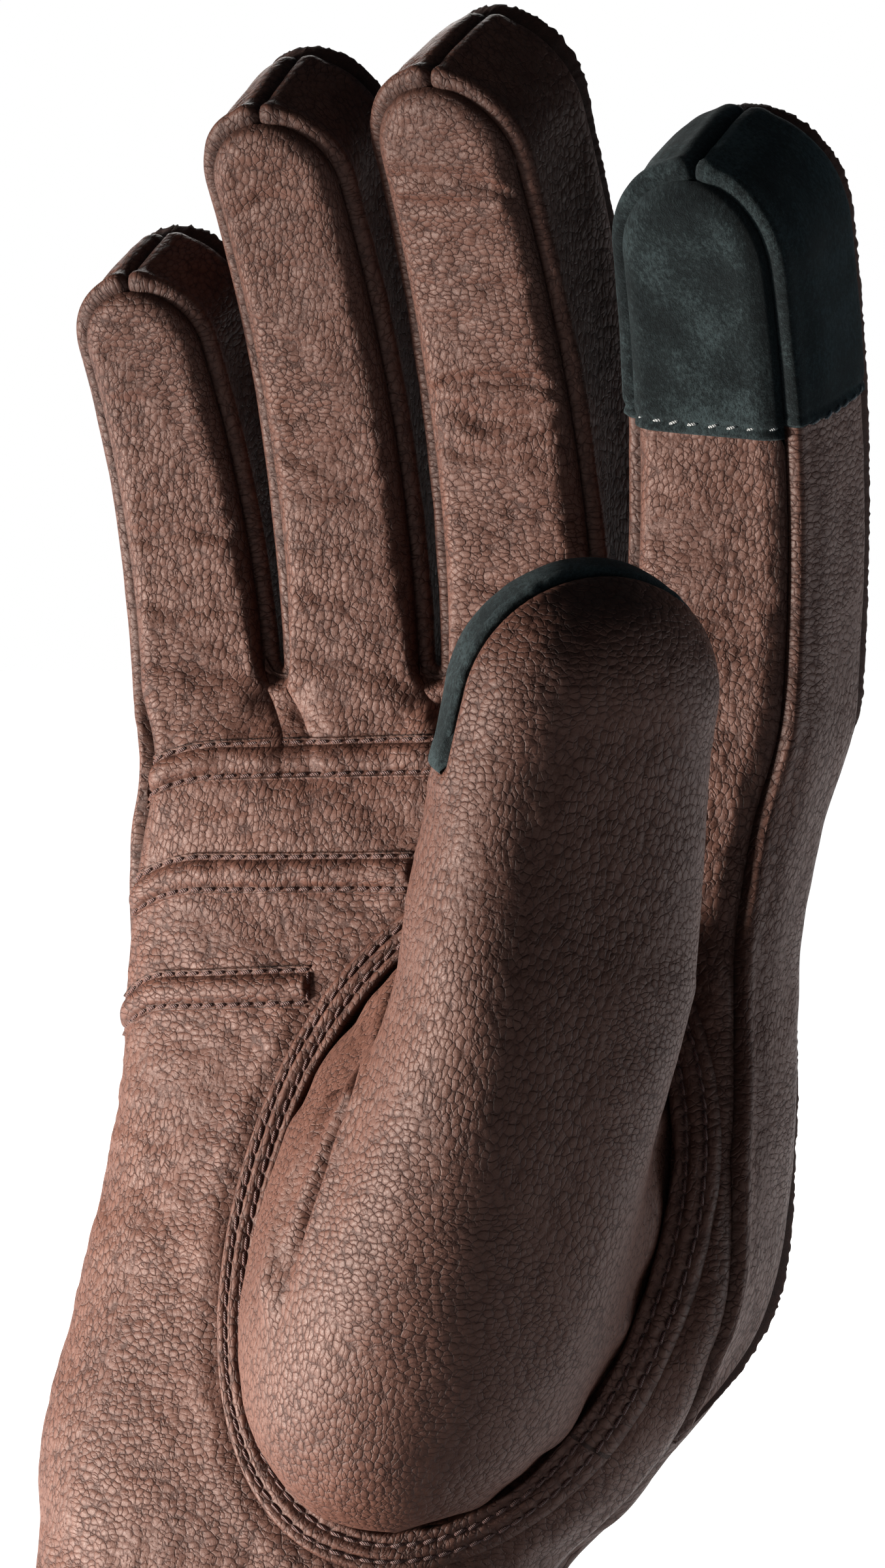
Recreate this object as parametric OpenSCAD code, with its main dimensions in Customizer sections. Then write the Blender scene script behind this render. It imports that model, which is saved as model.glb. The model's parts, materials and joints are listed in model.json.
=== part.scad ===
// Right-hand leather glove with touch patches, standing on its cuff rim.
// Millimetres. +Z runs from the cuff rim to the fingertips, the palm faces -Y, the thumb is on +X.
// Every leather panel is a thin closed shell laid on one set of hand and finger curves.

/* [Hand] */
// Width of the hand across the middle of the palm
palm_w = 110; // [88:1:136]
// Cuff rim to finger roots
hand_l = 190; // [150:1:230]
// Front to back depth of the hand at mid palm
palm_d = 41; // [33:0.5:50]
// Width of the cuff opening
cuff_w = 96; // [80:1:120]
// Front to back depth of the cuff opening
cuff_d = 66; // [52:1:80]
// Width at the gathered wrist
wrist_w = 84; // [70:1:100]

/* [Fingers] */
// Width of the index finger at its root
finger_w = 32; // [26:0.5:36]
// Front to back depth of the fingers at their root
finger_d = 27; // [22:0.5:32]
// Clearance between neighbouring finger roots
finger_gap = 1.2; // [0.8:0.1:4]
// Crotch to tip along the middle finger
middle_len = 100; // [80:1:120]
ring_len = 95; // [76:1:115]
index_len = 84; // [68:1:102]
little_len = 68; // [54:1:82]
thumb_len = 58; // [47:1:70]
// Forward curl of the relaxed fingers, degrees
curl = 36; // [10:1:45]

/* [Leather] */
leather_t = 1.2; // [0.8:0.1:2]
lining_t = 0.8; // [0.5:0.1:1.6]
// Clearance between joined finger halves
joint_gap = 0.4; // [0.2:0.05:0.8]
// Gap left at a sewn seam
seam_gap = 0.25; // [0.1:0.05:0.5]
// Height of the turned hem at the cuff
hem_h = 14; // [8:0.5:20]
// Length of the suede patch on the index finger
patch_len = 45; // [30:1:56]
// Length of the suede patch on the thumb
thumb_patch_len = 30; // [20:1:44]

/* [Hidden] */
sx = palm_w / 110;
sz = hand_l / 190;
sy = palm_d / 41;
sf = finger_w / 32;
web = hand_l;
rs = 0.86;
nf = 3.6;
// finger roots side by side: half widths and centres of little, ring, middle and index finger
fa = [12.6 * sf, 12.6 * sf, 14 * sf, 15.8 * sf];
fx2 = 42.8 * sx;
fx1 = fx2 - fa[2] - fa[1] - finger_gap;
fx = [fx1 - fa[1] - fa[0] - finger_gap, fx1, fx2, fx2 + fa[2] + fa[3] + finger_gap];
// z, centre x, centre y, half width, half depth, exponent
st = [
    [0, 0, 0, cuff_w / 2, cuff_d / 2, 2.3],
    [30 * sz, 2.5 * sx, 1, (cuff_w + wrist_w) / 4, cuff_d / 2 - 3.5, 2.3],
    [56 * sz, 5.6 * sx, 2, wrist_w / 2, cuff_d / 2 - 7, 2.4],
    [70 * sz, 10.6 * sx, 3.5, 46.3 * sx, 25 * sy, 2.5],
    [94 * sz, 19.4 * sx, 6.5, 53.3 * sx, 22.8 * sy, 2.6],
    [117 * sz, 24.2 * sx, 9, 55.3 * sx, 20.5 * sy, 2.8],
    [152 * sz, 27.6 * sx, 11.5, 55.2 * sx, 17.5 * sy, 3],
    [web, (fx[3] + fa[3] + fx[0] - fa[0]) / 2, 12, (fx[3] + fa[3] - fx[0] + fa[0]) / 2 + 1, 14.5 * sy, 3.4]];

function sp(v, e) = sign(v) * pow(abs(v), e);
function mix(a, b, s) = a + (b - a) * s;
function lim(v, a = 0, b = 1) = min(max(v, a), b);
function smooth(s) = let(q = lim(s)) q * q * (3 - 2 * q);
function seg(z, i = 0) = (i >= len(st) - 2 || z < st[i + 1][0]) ? i : seg(z, i + 1);
function sec(i) = (st[i + 1] - st[i]) / (st[i + 1][0] - st[i][0]);
function slope(i) = i == 0 ? sec(0) : i == len(st) - 1 ? sec(i - 1) : (sec(i) + sec(i - 1)) / 2;
function hand(z) = let(i = seg(z), h = st[i + 1][0] - st[i][0], s = (z - st[i][0]) / h,
    s2 = s * s, s3 = s2 * s)
    (2 * s3 - 3 * s2 + 1) * st[i] + (s3 - 2 * s2 + s) * h * slope(i)
    + (3 * s2 - 2 * s3) * st[i + 1] + (s3 - s2) * h * slope(i + 1);
// point of the hand wall: phi 0 is the palm (side 1) or the back (side -1), off is inwards
function hp(z, phi, side, off) = let(c = hand(z))
    [c[1] + (c[3] - off) * sp(sin(phi), 2 / c[5]),
     c[2] - side * (c[4] - off) * sp(cos(phi), 2 / c[5]), z];
function phi_x(z, x) = let(c = hand(z)) asin(lim(sp((x - c[1]) / c[3], c[5] / 2), -1, 1));
// depth of the outer side strips as a share of the half depth
function strip_r(z) = let(q = z / sz) q < 73 ? 0 : q < 94 ? mix(0, 0.35, smooth((q - 73) / 21))
    : q < 120 ? mix(0.35, 0.5, (q - 94) / 26) : mix(0.5, 0.8, (q - 120) / 70);
function strip_l(z) = let(q = z / sz) q < 120 ? 0 : mix(0, 0.8, smooth((q - 120) / 70));
function phi_e(z, f) = acos(pow(f, hand(z)[5] / 2));

// Digits: base point, lean, flex direction, half widths, half depths, length, curl,
// split height as a share of the length, exponent of the section, roll at the tip
D = [
    [[fx[0], 12, web], -4.5, 0, fa[0], 11.4 * sf, finger_d / 2 - 1.5, 10.4,
        little_len, curl - 4, 0.4, nf, 3],
    [[fx[1], 12, web], -2.5, 0, fa[1], 12.2 * sf, finger_d / 2 - 0.5, 11.2,
        ring_len, curl, 0.42, nf, 3],
    [[fx[2], 12, web], -1, 0, fa[2], 13.8 * sf, finger_d / 2, 12, middle_len, curl, 0.42, nf, 11],
    [[fx[3], 12, web], 4.5, 0, fa[3], 14.8 * sf, finger_d / 2, 12, index_len, curl - 2, 0.4, nf, 4],
    [[62 * sx, -33, web - 40 * sz], 6, -132, 21 * sf, 18 * sf, 17, 13.5, thumb_len, -20, 0, 2.6, 0]];
function cut(d) = d[7] * d[9];
function arch(d) = d[4] * 1.08;
// half width, half depth at height h
function wd(d, h) = let(s = lim(h / d[7])) [mix(d[3], d[4], s), mix(d[5], d[6], s)];
function dvec(d) = [sin(d[1]), 0, cos(d[1])];
function dflex(d) = let(u = dvec(d), f = [sin(d[2]), -cos(d[2]), 0], g = f - u * (f * u)) g / norm(g);
function dlat(d) = cross(dvec(d), dflex(d));
function dp(d, x, h, e) = let(u = dvec(d), f = dflex(d), k = d[8] / d[7], kr = k * PI / 180, t = k * h,
    ro = d[11] * smooth(h / d[7]))
    d[0] + u * (sin(t) / kr) + f * ((1 - cos(t)) / kr) + dlat(d) * (x * cos(ro) + e * sin(ro))
    + (u * sin(t) - f * cos(t)) * (e * cos(ro) - x * sin(ro));
// depth share at plan radius r
function dep(r, n) = pow(1 - pow(lim(r), n), 1 / n);
// point of the front (side 1) or back (side -1) skin: u across, h along
function skin(d, u, h, side, off, r_edge = rs) =
    let(hm = d[7] - arch(d), w = wd(d, min(h, hm)), r = h <= hm ? abs(u) : norm([u, (h - hm) / arch(d)]))
    dp(d, u * (w[0] - off), h <= hm ? h : hm + (h - hm) * (arch(d) - off) / arch(d),
       -side * (w[1] - off) * dep(r, d[10]));
// grid of a fingertip panel from height h0 to its arched edge
function tip_grid(d, side, off, h0, nu, nv, re) = [for (j = [0:nv]) [for (i = [0:nu])
    let(u = re > 0.95 ? re * sp(sin(mix(-89.3, 89.3, i / nu)), 2 / d[10]) : re * sin(mix(-86, 86, i / nu)),
        hm = d[7] - arch(d),
        top = hm + arch(d) * sqrt(max(re * re - u * u, 0)), v = re > 0.95 ? sin(90 * j / nv) : j / nv)
    skin(d, u, mix(h0, top, v), side, off, re)]];
// grid of a side strip, side s = -1 or 1, from height h0 round to the middle of the tip
function strip_pt(d, s, q, ta, off, h0) = let(hm = d[7] - arch(d), R = arch(d),
    la = PI * R / 2, lt = hm - h0 + la, p = q * lt, be = p < hm - h0 ? 0 : (p - hm + h0) / la * 90,
    h = min(h0 + p, hm), w = wd(d, h), rho = pow(cos(ta), 2 / d[10]))
    dp(d, s * (w[0] - off) * rho * cos(be), h + (R - off) * rho * sin(be),
       (w[1] - off) * sp(sin(ta), 2 / nf));
ts = acos(pow(rs, nf / 2)) - 1.2;
function strip_grid(d, s, off, h0, q1, nq, nt) = [for (j = [0:nq]) [for (i = [0:nt])
    strip_pt(d, s, mix(0, q1, j / nq), mix(-ts, ts, i / nt), off, h0)]];

// Closed shell between two equal grids. m lists the cells left out, w joins the grid's ends.
function tri_vol(p, f) = p[f[0]] * cross(p[f[1]], p[f[2]]);
function sum(v, i = 0, s = 0) = i >= len(v) ? s : sum(v, i + 1, s + v[i]);
function shell_faces(nv, nu, on, w) = let(c = nu + 1, n = (nv + 1) * c,
    a = function(j, i) (i < 0 || i >= nu) ? (w ? a2(on, j, (i + nu) % nu, nv) : false) : a2(on, j, i, nv),
    p = function(j, i) j * c + (w && i == nu ? 0 : i))
    [for (j = [0:nv - 1]) for (i = [0:nu - 1]) if (a(j, i))
        let(p0 = p(j, i), p1 = p(j, i + 1), p2 = p(j + 1, i + 1), p3 = p(j + 1, i))
        each [[p0, p1, p2], [p0, p2, p3], [n + p0, n + p2, n + p1], [n + p0, n + p3, n + p2],
              if (!a(j - 1, i)) each [[p1, p0, n + p0], [p1, n + p0, n + p1]],
              if (!a(j + 1, i)) each [[p3, p2, n + p2], [p3, n + p2, n + p3]],
              if (!a(j, i - 1)) each [[p0, p3, n + p3], [p0, n + p3, n + p0]],
              if (!a(j, i + 1)) each [[p2, p1, n + p1], [p2, n + p1, n + p2]]]];
function a2(on, j, i, nv) = j >= 0 && j < nv && on(j, i);
function flat(g) = [for (r = g) each r];
module shell(o, i, w = false, on = function(j, i) true) {
    pts = concat(flat(o), flat(i));
    fs = shell_faces(len(o) - 1, len(o[0]) - 1, on, w);
    v = sum([for (f = fs) tri_vol(pts, f)]);
    polyhedron(pts, v > 0 ? [for (f = fs) [f[2], f[1], f[0]]] : fs, convexity = 6);
}
// Several shells as one solid list, so a node needs no union
module shells(gs, w = false) {
    all = [for (g = gs) let(pts = concat(flat(g[0]), flat(g[1])),
        fs = shell_faces(len(g[0]) - 1, len(g[0][0]) - 1, function(j, i) true, w),
        v = sum([for (f = fs) tri_vol(pts, f)]))
        [pts, v > 0 ? [for (f = fs) [f[2], f[1], f[0]]] : fs]];
    off = [for (k = 0, s = 0; k < len(all); s = s + len(all[k][0]), k = k + 1) s];
    polyhedron([for (m = all) each m[0]],
        [for (k = [0:len(all) - 1]) for (f = all[k][1]) [f[0] + off[k], f[1] + off[k], f[2] + off[k]]],
        convexity = 6);
}

// Hand panels: 27 columns of cells, four fingers of 6 with 3 webs between them
fc = [0, 7, 14, 21];
function col_f(j) = j <= 6 ? [0, j] : j <= 13 ? [1, j - 7] : j <= 20 ? [2, j - 14] : [3, j - 21];
function finger_col(i) = i != 6 && i != 13 && i != 20;
function u_col(j) = rs * (2 * col_f(j)[1] / 6 - 1);
function x_top(j) = let(k = col_f(j)) dp(D[k[0]], u_col(j) * D[k[0]][3], 0, 0)[0];
// Thumb opening in the palm
tx = 38.4 * sx;
tz = 110.5 * sz;
tw = 32 * sx;
th = 46 * sz;
lean = 0.15;
function txz(z) = tx + lean * (z - tz);
w0 = 8 * sx;
function open_w(z) = let(q = (z - tz) / th) abs(q) >= 1 ? w0 : max(w0, tw * sqrt(1 - q * q));
z_in = th * sqrt(1 - pow(w0 / tw, 2));
function hand_phi(z, j, hole) = let(sh = seam_gap * 0.6,
    pl = -phi_e(z, strip_l(z)) + sh, pr = phi_e(z, strip_r(z)) - sh,
    zt = web, tl = phi_x(zt, x_top(0)), tr = phi_x(zt, x_top(27)), tj = phi_x(zt, x_top(j)),
    ha = phi_x(zt, x_top(14)), hb = phi_x(zt, x_top(18)),
    k = smooth((z - tz - z_in) / (web - tz - z_in)),
    a = hole ? mix(phi_x(z, txz(z) - open_w(z)), mix(pl, pr, (ha - tl) / (tr - tl)), k) : 0,
    b = hole ? mix(phi_x(z, txz(z) + open_w(z)), mix(pl, pr, (hb - tl) / (tr - tl)), k) : 0)
    !hole ? mix(pl, pr, (tj - tl) / (tr - tl))
    : j <= 14 ? mix(pl, a, (tj - tl) / (ha - tl))
    : j <= 18 ? mix(a, b, (j - 14) / 4) : mix(b, pr, (tj - hb) / (tr - hb));
function ring_z(x, s) = tz + s * th * sqrt(max(1 - pow((x - tx - s * lean * z_in) / tw, 2), 0));
function hand_v(z, j, side, off, hole) = let(ph = hand_phi(z, j, hole), p = hp(z, ph, side, off),
    lo = hole && j > 14 && j < 18 && abs(z - (tz - z_in)) < 0.01,
    hi = hole && j > 14 && j < 18 && abs(z - (tz + z_in)) < 0.01,
    q = lo ? hp(ring_z(p[0], -1), ph, side, off) : hi ? hp(ring_z(p[0], 1), ph, side, off) : p,
    k = smooth((z - web + 22) / 22))
    k <= 0 ? q : mix(q, skin(D[col_f(j)[0]], u_col(j), z - web, side, off), k);
rows_p = concat([for (q = [0:7]) q / 7 * (tz - z_in - 4 * sz)], [tz - z_in],
    [for (q = [1:14]) tz + z_in * -cos(180 * q / 15)], [tz + z_in],
    [for (q = [0.25:0.25:1]) mix(tz + z_in, web, q)]);
rows_b = concat([for (q = [0:11]) (web - 22) * q / 12], [for (q = [0:4]) web - 22 + 22 * q / 4]);
nfr = 5;
function hand_grid(rows, side, off, hole, cols = [0:27]) = concat(
    [for (z = rows) [for (j = cols) hand_v(z, j, side, off, hole)]],
    [for (q = [1:nfr]) [for (j = cols) let(d = D[col_f(j)[0]])
        skin(d, u_col(j), (cut(d) - joint_gap / 2) * q / nfr, side, off)]]);
hole_lo = len([for (z = rows_p) if (z < tz - z_in + 0.01) 1]) - 1;
hole_hi = len([for (z = rows_p) if (z < tz + z_in - 0.01) 1]) - 1;

// Thumb base: loft from the opening in the palm to the thumb's lower section
td = D[4];
thumb_h = thumb_len - thumb_patch_len;
function ring_pt(psi, grow, lift) = let(t = 48 - psi, z = tz - (th + grow) * cos(t),
    x = txz(z) + (tw + grow) * sin(t), c = hand(z), r = lim(abs(x - c[1]) / c[3], 0, 0.98))
    [x, c[2] - c[4] * pow(1 - pow(r, c[5]), 1 / c[5]) - lift, z];
function base_pt(psi, v, off) = let(
    a = ring_pt(psi, -leather_t - 0.3 - off, -0.4),
    w = wd(td, 0), p = 2 / td[10], t = 48 - psi, low = (1 + cos(t)) / 2,
    b = dp(td, (w[0] - off) * sp(sin(psi), p), -joint_gap / 2, (w[1] - off) * sp(cos(psi), p)),
    ta = [mix(-4, 6, low) * sin(t) * 3, -mix(26, 88, low), mix(4, -16, low)] * sz,
    tb = dvec(td) * mix(22, 84, low) * sz,
    s = v, s2 = s * s, s3 = s2 * s)
    (2 * s3 - 3 * s2 + 1) * a + (s3 - 2 * s2 + s) * ta + (3 * s2 - 2 * s3) * b + (s3 - s2) * tb;
function base_grid(off, v0, v1, nv, nu) = [for (j = [0:nv]) [for (i = [0:nu])
    base_pt(360 * i / nu, mix(v0, v1, j / nv), off)]];

// Small square cord along a list of points on the skin, r its half size
function cord_grid(ps, ns, r) = [for (q = [0:3]) [for (i = [0:len(ps) - 1])
    let(t = ps[min(i + 1, len(ps) - 1)] - ps[max(i - 1, 0)], n = ns[i], b = cross(t / norm(t), n))
    ps[i] + (q == 0 ? n + b : q == 1 ? n - b : q == 2 ? -n - b : -n + b) * r]];
function cord_faces(n, loop) = let(c = function(q, i) (q % 4) * n + i % n)
    concat([for (q = [0:3]) for (i = [0:n - (loop ? 1 : 2)])
        each [[c(q, i), c(q, i + 1), c(q + 1, i + 1)], [c(q, i), c(q + 1, i + 1), c(q + 1, i)]]],
        loop ? [] : [[c(0, 0), c(1, 0), c(2, 0)], [c(0, 0), c(2, 0), c(3, 0)],
                     [c(0, n - 1), c(2, n - 1), c(1, n - 1)], [c(0, n - 1), c(3, n - 1), c(2, n - 1)]]);
module cords(list, r, loop = false) {
    all = [for (m = list) let(pts = flat(cord_grid(m[0], m[1], r)), fs = cord_faces(len(m[0]), loop),
        v = sum([for (f = fs) tri_vol(pts, f)])) [pts, v > 0 ? [for (f = fs) [f[2], f[1], f[0]]] : fs]];
    off = [for (k = 0, s = 0; k < len(all); s = s + len(all[k][0]), k = k + 1) s];
    polyhedron([for (m = all) each m[0]],
        [for (k = [0:len(all) - 1]) for (f = all[k][1]) [f[0] + off[k], f[1] + off[k], f[2] + off[k]]],
        convexity = 6);
}
// Point of the palm or back at (x, z), lifted off the skin
function on_hand(x, z, side, lift) = let(c = hand(z), r = lim(abs(x - c[1]) / c[3], 0, 0.9999))
    [x, c[2] - side * (c[4] * pow(1 - pow(r, c[5]), 1 / c[5]) + lift), z];
function hand_n(x, z, side) = let(e = 0.5, a = on_hand(x + e, z, side, 0) - on_hand(x - e, z, side, 0),
    b = on_hand(x, z + e, side, 0) - on_hand(x, z - e, side, 0), n = cross(a, b) * side) n / norm(n);

leather = [0.42, 0.29, 0.24];
dark = [0.3, 0.2, 0.16];
suede = [0.1, 0.13, 0.14];
thread = [0.33, 0.16, 0.12];
cloth = [0.12, 0.12, 0.13];

module palm_panel() color(leather)
    shell(hand_grid(rows_p, 1, 0, true), hand_grid(rows_p, 1, leather_t, true), false,
        function(j, i) j >= len(rows_p) - 1 ? finger_col(i)
            : !(i >= 14 && i < 18 && j >= hole_lo && j < hole_hi));
module back_panel() color(leather)
    shell(hand_grid(rows_b, -1, 0, false), hand_grid(rows_b, -1, leather_t, false), false,
        function(j, i) j < len(rows_b) - 1 || finger_col(i));

// Outer strips run from the finger's split down its side and taper into the hand's seam
function side_pt(d, s, z, ta, off) = let(c = hand(z),
    f = s > 0 ? strip_r(z) : strip_l(z), q = ta / ts * f * 0.97, r = pow(1 - pow(abs(q), c[5]), 1 / c[5]),
    p = [c[1] + s * (c[3] - off) * r, c[2] + (c[4] - off) * q, z], k = smooth((z - web + 22) / 22),
    w = wd(d, max(z - web, 0)))
    k <= 0 ? p : mix(p, dp(d, s * (w[0] - off) * pow(cos(ta), 2 / nf), z - web,
        (w[1] - off) * sp(sin(ta), 2 / nf)), k);
function outer_grid(d, s, off, z0, n) = concat(
    [for (j = [0:n]) [for (i = [0:4]) side_pt(d, s, mix(z0, web, j / n), mix(-ts, ts, i / 4), off)]],
    [for (q = [1:nfr]) [for (i = [0:4]) let(h = (cut(d) - joint_gap / 2) * q / nfr, w = wd(d, h),
        ta = mix(-ts, ts, i / 4))
        dp(d, s * (w[0] - off) * pow(cos(ta), 2 / nf), h, (w[1] - off) * sp(sin(ta), 2 / nf))]]);
module strip_index() color(leather)
    shell(outer_grid(D[3], 1, 0, 77 * sz, 14), outer_grid(D[3], 1, leather_t, 77 * sz, 14));
module strip_little() color(leather)
    shell(outer_grid(D[0], -1, 0, 128 * sz, 8), outer_grid(D[0], -1, leather_t, 128 * sz, 8));

// Fourchettes: down one finger, round the crotch, up the next
function crotch(a, b, ta, be, off) = let(wa = wd(a, 3), wb = wd(b, 3), rho = pow(cos(ta), 2 / nf),
    sd = sp(sin(ta), 2 / nf),
    p = dp(a, (wa[0] - off) * rho, 3, (wa[1] - off) * sd),
    q = dp(b, -(wb[0] - off) * rho, 3, (wb[1] - off) * sd))
    (p + q) / 2 + (p - q) / 2 * cos(be) - [0, 0, 1] * (norm(p - q) / 2 + 0.2) * sin(be);
function arm(d, s, h, off) = [for (i = [0:4]) let(ta = mix(-ts, ts, i / 4), w = wd(d, h))
    dp(d, s * (w[0] - off) * pow(cos(ta), 2 / nf), h, (w[1] - off) * sp(sin(ta), 2 / nf))];
function four_grid(a, b, off) = concat(
    [for (q = [0:4]) arm(a, 1, mix(cut(a) - joint_gap / 2, 3, q / 5), off)],
    [for (q = [0:6]) [for (i = [0:4]) crotch(a, b, mix(-ts, ts, i / 4), 30 * q, off)]],
    [for (q = [1:5]) arm(b, -1, mix(3, cut(b) - joint_gap / 2, q / 5), off)]);
module fourchette(a, b) color(dark) shell(four_grid(a, b, 0), four_grid(a, b, leather_t));
module fourchette_index_middle() fourchette(D[2], D[3]);
module fourchette_middle_ring() fourchette(D[1], D[2]);
module fourchette_ring_little() fourchette(D[0], D[1]);

module thumb_base() color(leather)
    shell(base_grid(0, 0, 1, 14, 24), base_grid(leather_t, 0, 1, 14, 24), true);
module thumb_opening_binding() color(dark)
    shells([let(n = 40, g = function(l, h0, h1) [for (q = [0, 1]) [for (i = [0:n])
        ring_pt(360 * i / n, q == 0 ? h0 : h1, l)]]) [g(2.3, 0.2, 4.8), g(1.1, 0.2, 4.8)]], true);
module thumb_opening_stitching() color(thread) cords([for (g = [1.3, 3.7])
    [[for (i = [0:47]) ring_pt(360 * i / 48, g, 2.8)], [for (i = [0:47]) [0, -1, 0]]]], 0.3, true);

// Palm pleats: raised bands between two stitch rows. Each has its left end as a share of the
// hand's half width, its right end and the heights of its two ends.
pleats = [[0.92, 34, 178.8, 180.8], [0.91, 28.5, 161.8, 163.3], [0.94, 12, 143.6, 145.9]];
pleat_h = 3.6;
function pleat_z(p, s, q) = (mix(p[2], p[3], s) - pleat_h * q - 4 * pow(lim(1 - s / 0.28), 2)) * sz;
function pleat_x(p, s) = let(c = hand(p[2] * sz)) mix(c[1] - p[0] * c[3], p[1] * sx, s);
function pleat_grid(p, lift) = [for (q = [0:3]) [for (i = [0:14])
    on_hand(pleat_x(p, i / 14), pleat_z(p, i / 14, q / 3), 1,
        lift == 0 ? 0.12 : q == 0 || q == 3 ? 0.4 : lift)]];
module palm_pleats() color(leather) shells([for (p = pleats) [pleat_grid(p, 1.3), pleat_grid(p, 0)]]);
module palm_stitching() color(thread) cords([for (p = pleats) for (q = [-0.18, 1.18])
    let(ps = [for (i = [0:16]) [pleat_x(p, i / 16), pleat_z(p, i / 16, q)]])
    [[for (v = ps) on_hand(v[0], v[1], 1, 0.5)], [for (v = ps) hand_n(v[0], v[1], 1)]]], 0.28);
// Three raised points on the back
module back_points() color(leather) cords([for (k = [-1, 0, 1])
    [[for (i = [0:12]) on_hand((29 + k * mix(15, 24, i / 12)) * sx, mix(98, 163, i / 12) * sz, -1, 0.75)],
     [for (i = [0:12]) hand_n((29 + k * mix(15, 24, i / 12)) * sx, mix(98, 163, i / 12) * sz, -1)]]], 0.6);

function tube(z0, z1, nz, nu, off) = [for (j = [0:nz]) [for (i = [0:nu]) let(z = mix(z0, z1, j / nz),
    a = 360 * i / nu, c = hand(z)) [c[1] + (c[3] - off) * sp(sin(a), 2 / c[5]),
    c[2] - (c[4] - off) * sp(cos(a), 2 / c[5]), z]]];
module hem() color(dark) shell(tube(0, hem_h, 2, 36, -1.5), tube(0, hem_h, 2, 36, -0.15), true);
module hem_stitching() color(thread) cords([let(z = hem_h - 2.5) [[for (i = [0:35])
    let(c = hand(z), a = 10 * i) [c[1] + (c[3] + 1.95) * sp(sin(a), 2 / c[5]),
    c[2] - (c[4] + 1.95) * sp(cos(a), 2 / c[5]), z]],
    [for (i = [0:35]) [sin(10 * i), -cos(10 * i), 0]]]], 0.3, true);
module wrist_elastic() color(cloth) shell(tube(48 * sz, 60 * sz, 2, 32, leather_t + 0.8),
    tube(48 * sz, 60 * sz, 2, 32, leather_t + 1.3), true);
module hand_lining() color(cloth)
    shell(tube(3, web - 18 * sz, 14, 24, leather_t + 2.1),
        tube(3, web - 18 * sz, 14, 24, leather_t + 2.1 + lining_t), true,
        function(j, i) let(z = mix(3, web - 18 * sz, (j + 0.5) / 14), c = hand(z), a = 15 * (i + 0.5),
            x = c[1] + c[3] * sp(sin(a), 2 / c[5]))
            cos(a) < 0 || pow((x - txz(z)) / tw, 2) + pow((z - tz) / th, 2) > 1.1);
// Sleeve of lining inside a finger between two heights
function sleeve(d, h0, h1, nz, nu, off) = [for (j = [0:nz]) [for (i = [0:nu]) let(h = mix(h0, h1, j / nz),
    a = 360 * i / nu, w = wd(d, h))
    dp(d, (w[0] - off) * sp(sin(a), 2 / nf), h, -(w[1] - off) * sp(cos(a), 2 / nf))]];
lo = leather_t + 0.6;
module finger_lining() color(cloth) shells([for (k = [0:3]) [sleeve(D[k], 1, cut(D[k]) - 1, 3, 16, lo),
    sleeve(D[k], 1, cut(D[k]) - 1, 3, 16, lo + lining_t)]], true);

// Finger ends
function h_cut(d) = cut(d) + joint_gap / 2;
module front(d, h0) color(leather)
    shell(tip_grid(d, 1, 0, h0, 6, 7, rs), tip_grid(d, 1, leather_t, h0, 6, 7, rs));
module back(d) color(leather)
    shell(tip_grid(d, -1, 0, h_cut(d), 6, 7, rs), tip_grid(d, -1, leather_t, h_cut(d), 6, 7, rs));
module strip(d, s) color(dark)
    shell(strip_grid(d, s, 0, h_cut(d), 0.994, 8, 4), strip_grid(d, s, leather_t, h_cut(d), 0.994, 8, 4));
module lining(d) color(cloth) shells([for (s = [1, -1]) [tip_grid(d, s, lo, h_cut(d) + 0.8, 6, 4, 0.9999),
    tip_grid(d, s, lo + lining_t, h_cut(d) + 0.8, 6, 4, 0.9999)]]);
module little_front() front(D[0], h_cut(D[0]));
module little_back() back(D[0]);
module little_strip_outer() strip(D[0], -1);
module little_strip_inner() strip(D[0], 1);
module little_lining() lining(D[0]);
module ring_front() front(D[1], h_cut(D[1]));
module ring_back() back(D[1]);
module ring_strip_outer() strip(D[1], -1);
module ring_strip_inner() strip(D[1], 1);
module ring_lining() lining(D[1]);
module middle_front() front(D[2], h_cut(D[2]));
module middle_back() back(D[2]);
module middle_strip_outer() strip(D[2], 1);
module middle_strip_inner() strip(D[2], -1);
module middle_lining() lining(D[2]);

// Index finger: leather stops where the suede patch takes over
hp0 = index_len - patch_len;
function arm_cell(d, s, h0, h1, n, off) = [for (j = [0:n]) [for (i = [0:4])
    let(ta = mix(-ts, ts, i / 4), h = mix(h0, h1, j / n), w = wd(d, h))
    dp(d, s * (w[0] - off) * pow(cos(ta), 2 / nf), h, (w[1] - off) * sp(sin(ta), 2 / nf))]];
function front_cell(d, h0, h1, n, off) = [for (j = [0:n]) [for (i = [0:6])
    skin(d, rs * sin(mix(-86, 86, i / 6)), mix(h0, h1, j / n), 1, off)]];
module index_front() color(leather) shell(front_cell(D[3], h_cut(D[3]), hp0 + 2, 2, 0),
    front_cell(D[3], h_cut(D[3]), hp0 + 2, 2, leather_t));
module index_back() back(D[3]);
module index_strip_outer() color(dark) shell(arm_cell(D[3], 1, h_cut(D[3]), hp0 + 3, 2, 0),
    arm_cell(D[3], 1, h_cut(D[3]), hp0 + 3, 2, leather_t));
module index_strip_inner() color(dark) shell(arm_cell(D[3], -1, h_cut(D[3]), hp0 + 3, 2, 0),
    arm_cell(D[3], -1, h_cut(D[3]), hp0 + 3, 2, leather_t));
module index_lining() lining(D[3]);
module index_patch_front() color(suede) shell(tip_grid(D[3], 1, 0, hp0 + 2.3, 6, 6, rs),
    tip_grid(D[3], 1, leather_t, hp0 + 2.3, 6, 6, rs));
module patch_side(s) color(suede) shell(strip_grid(D[3], s, 0, hp0 + 3.3, 0.994, 8, 4),
    strip_grid(D[3], s, leather_t, hp0 + 3.3, 0.994, 8, 4));
module index_patch_outer() patch_side(1);
module index_patch_inner() patch_side(-1);
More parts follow.
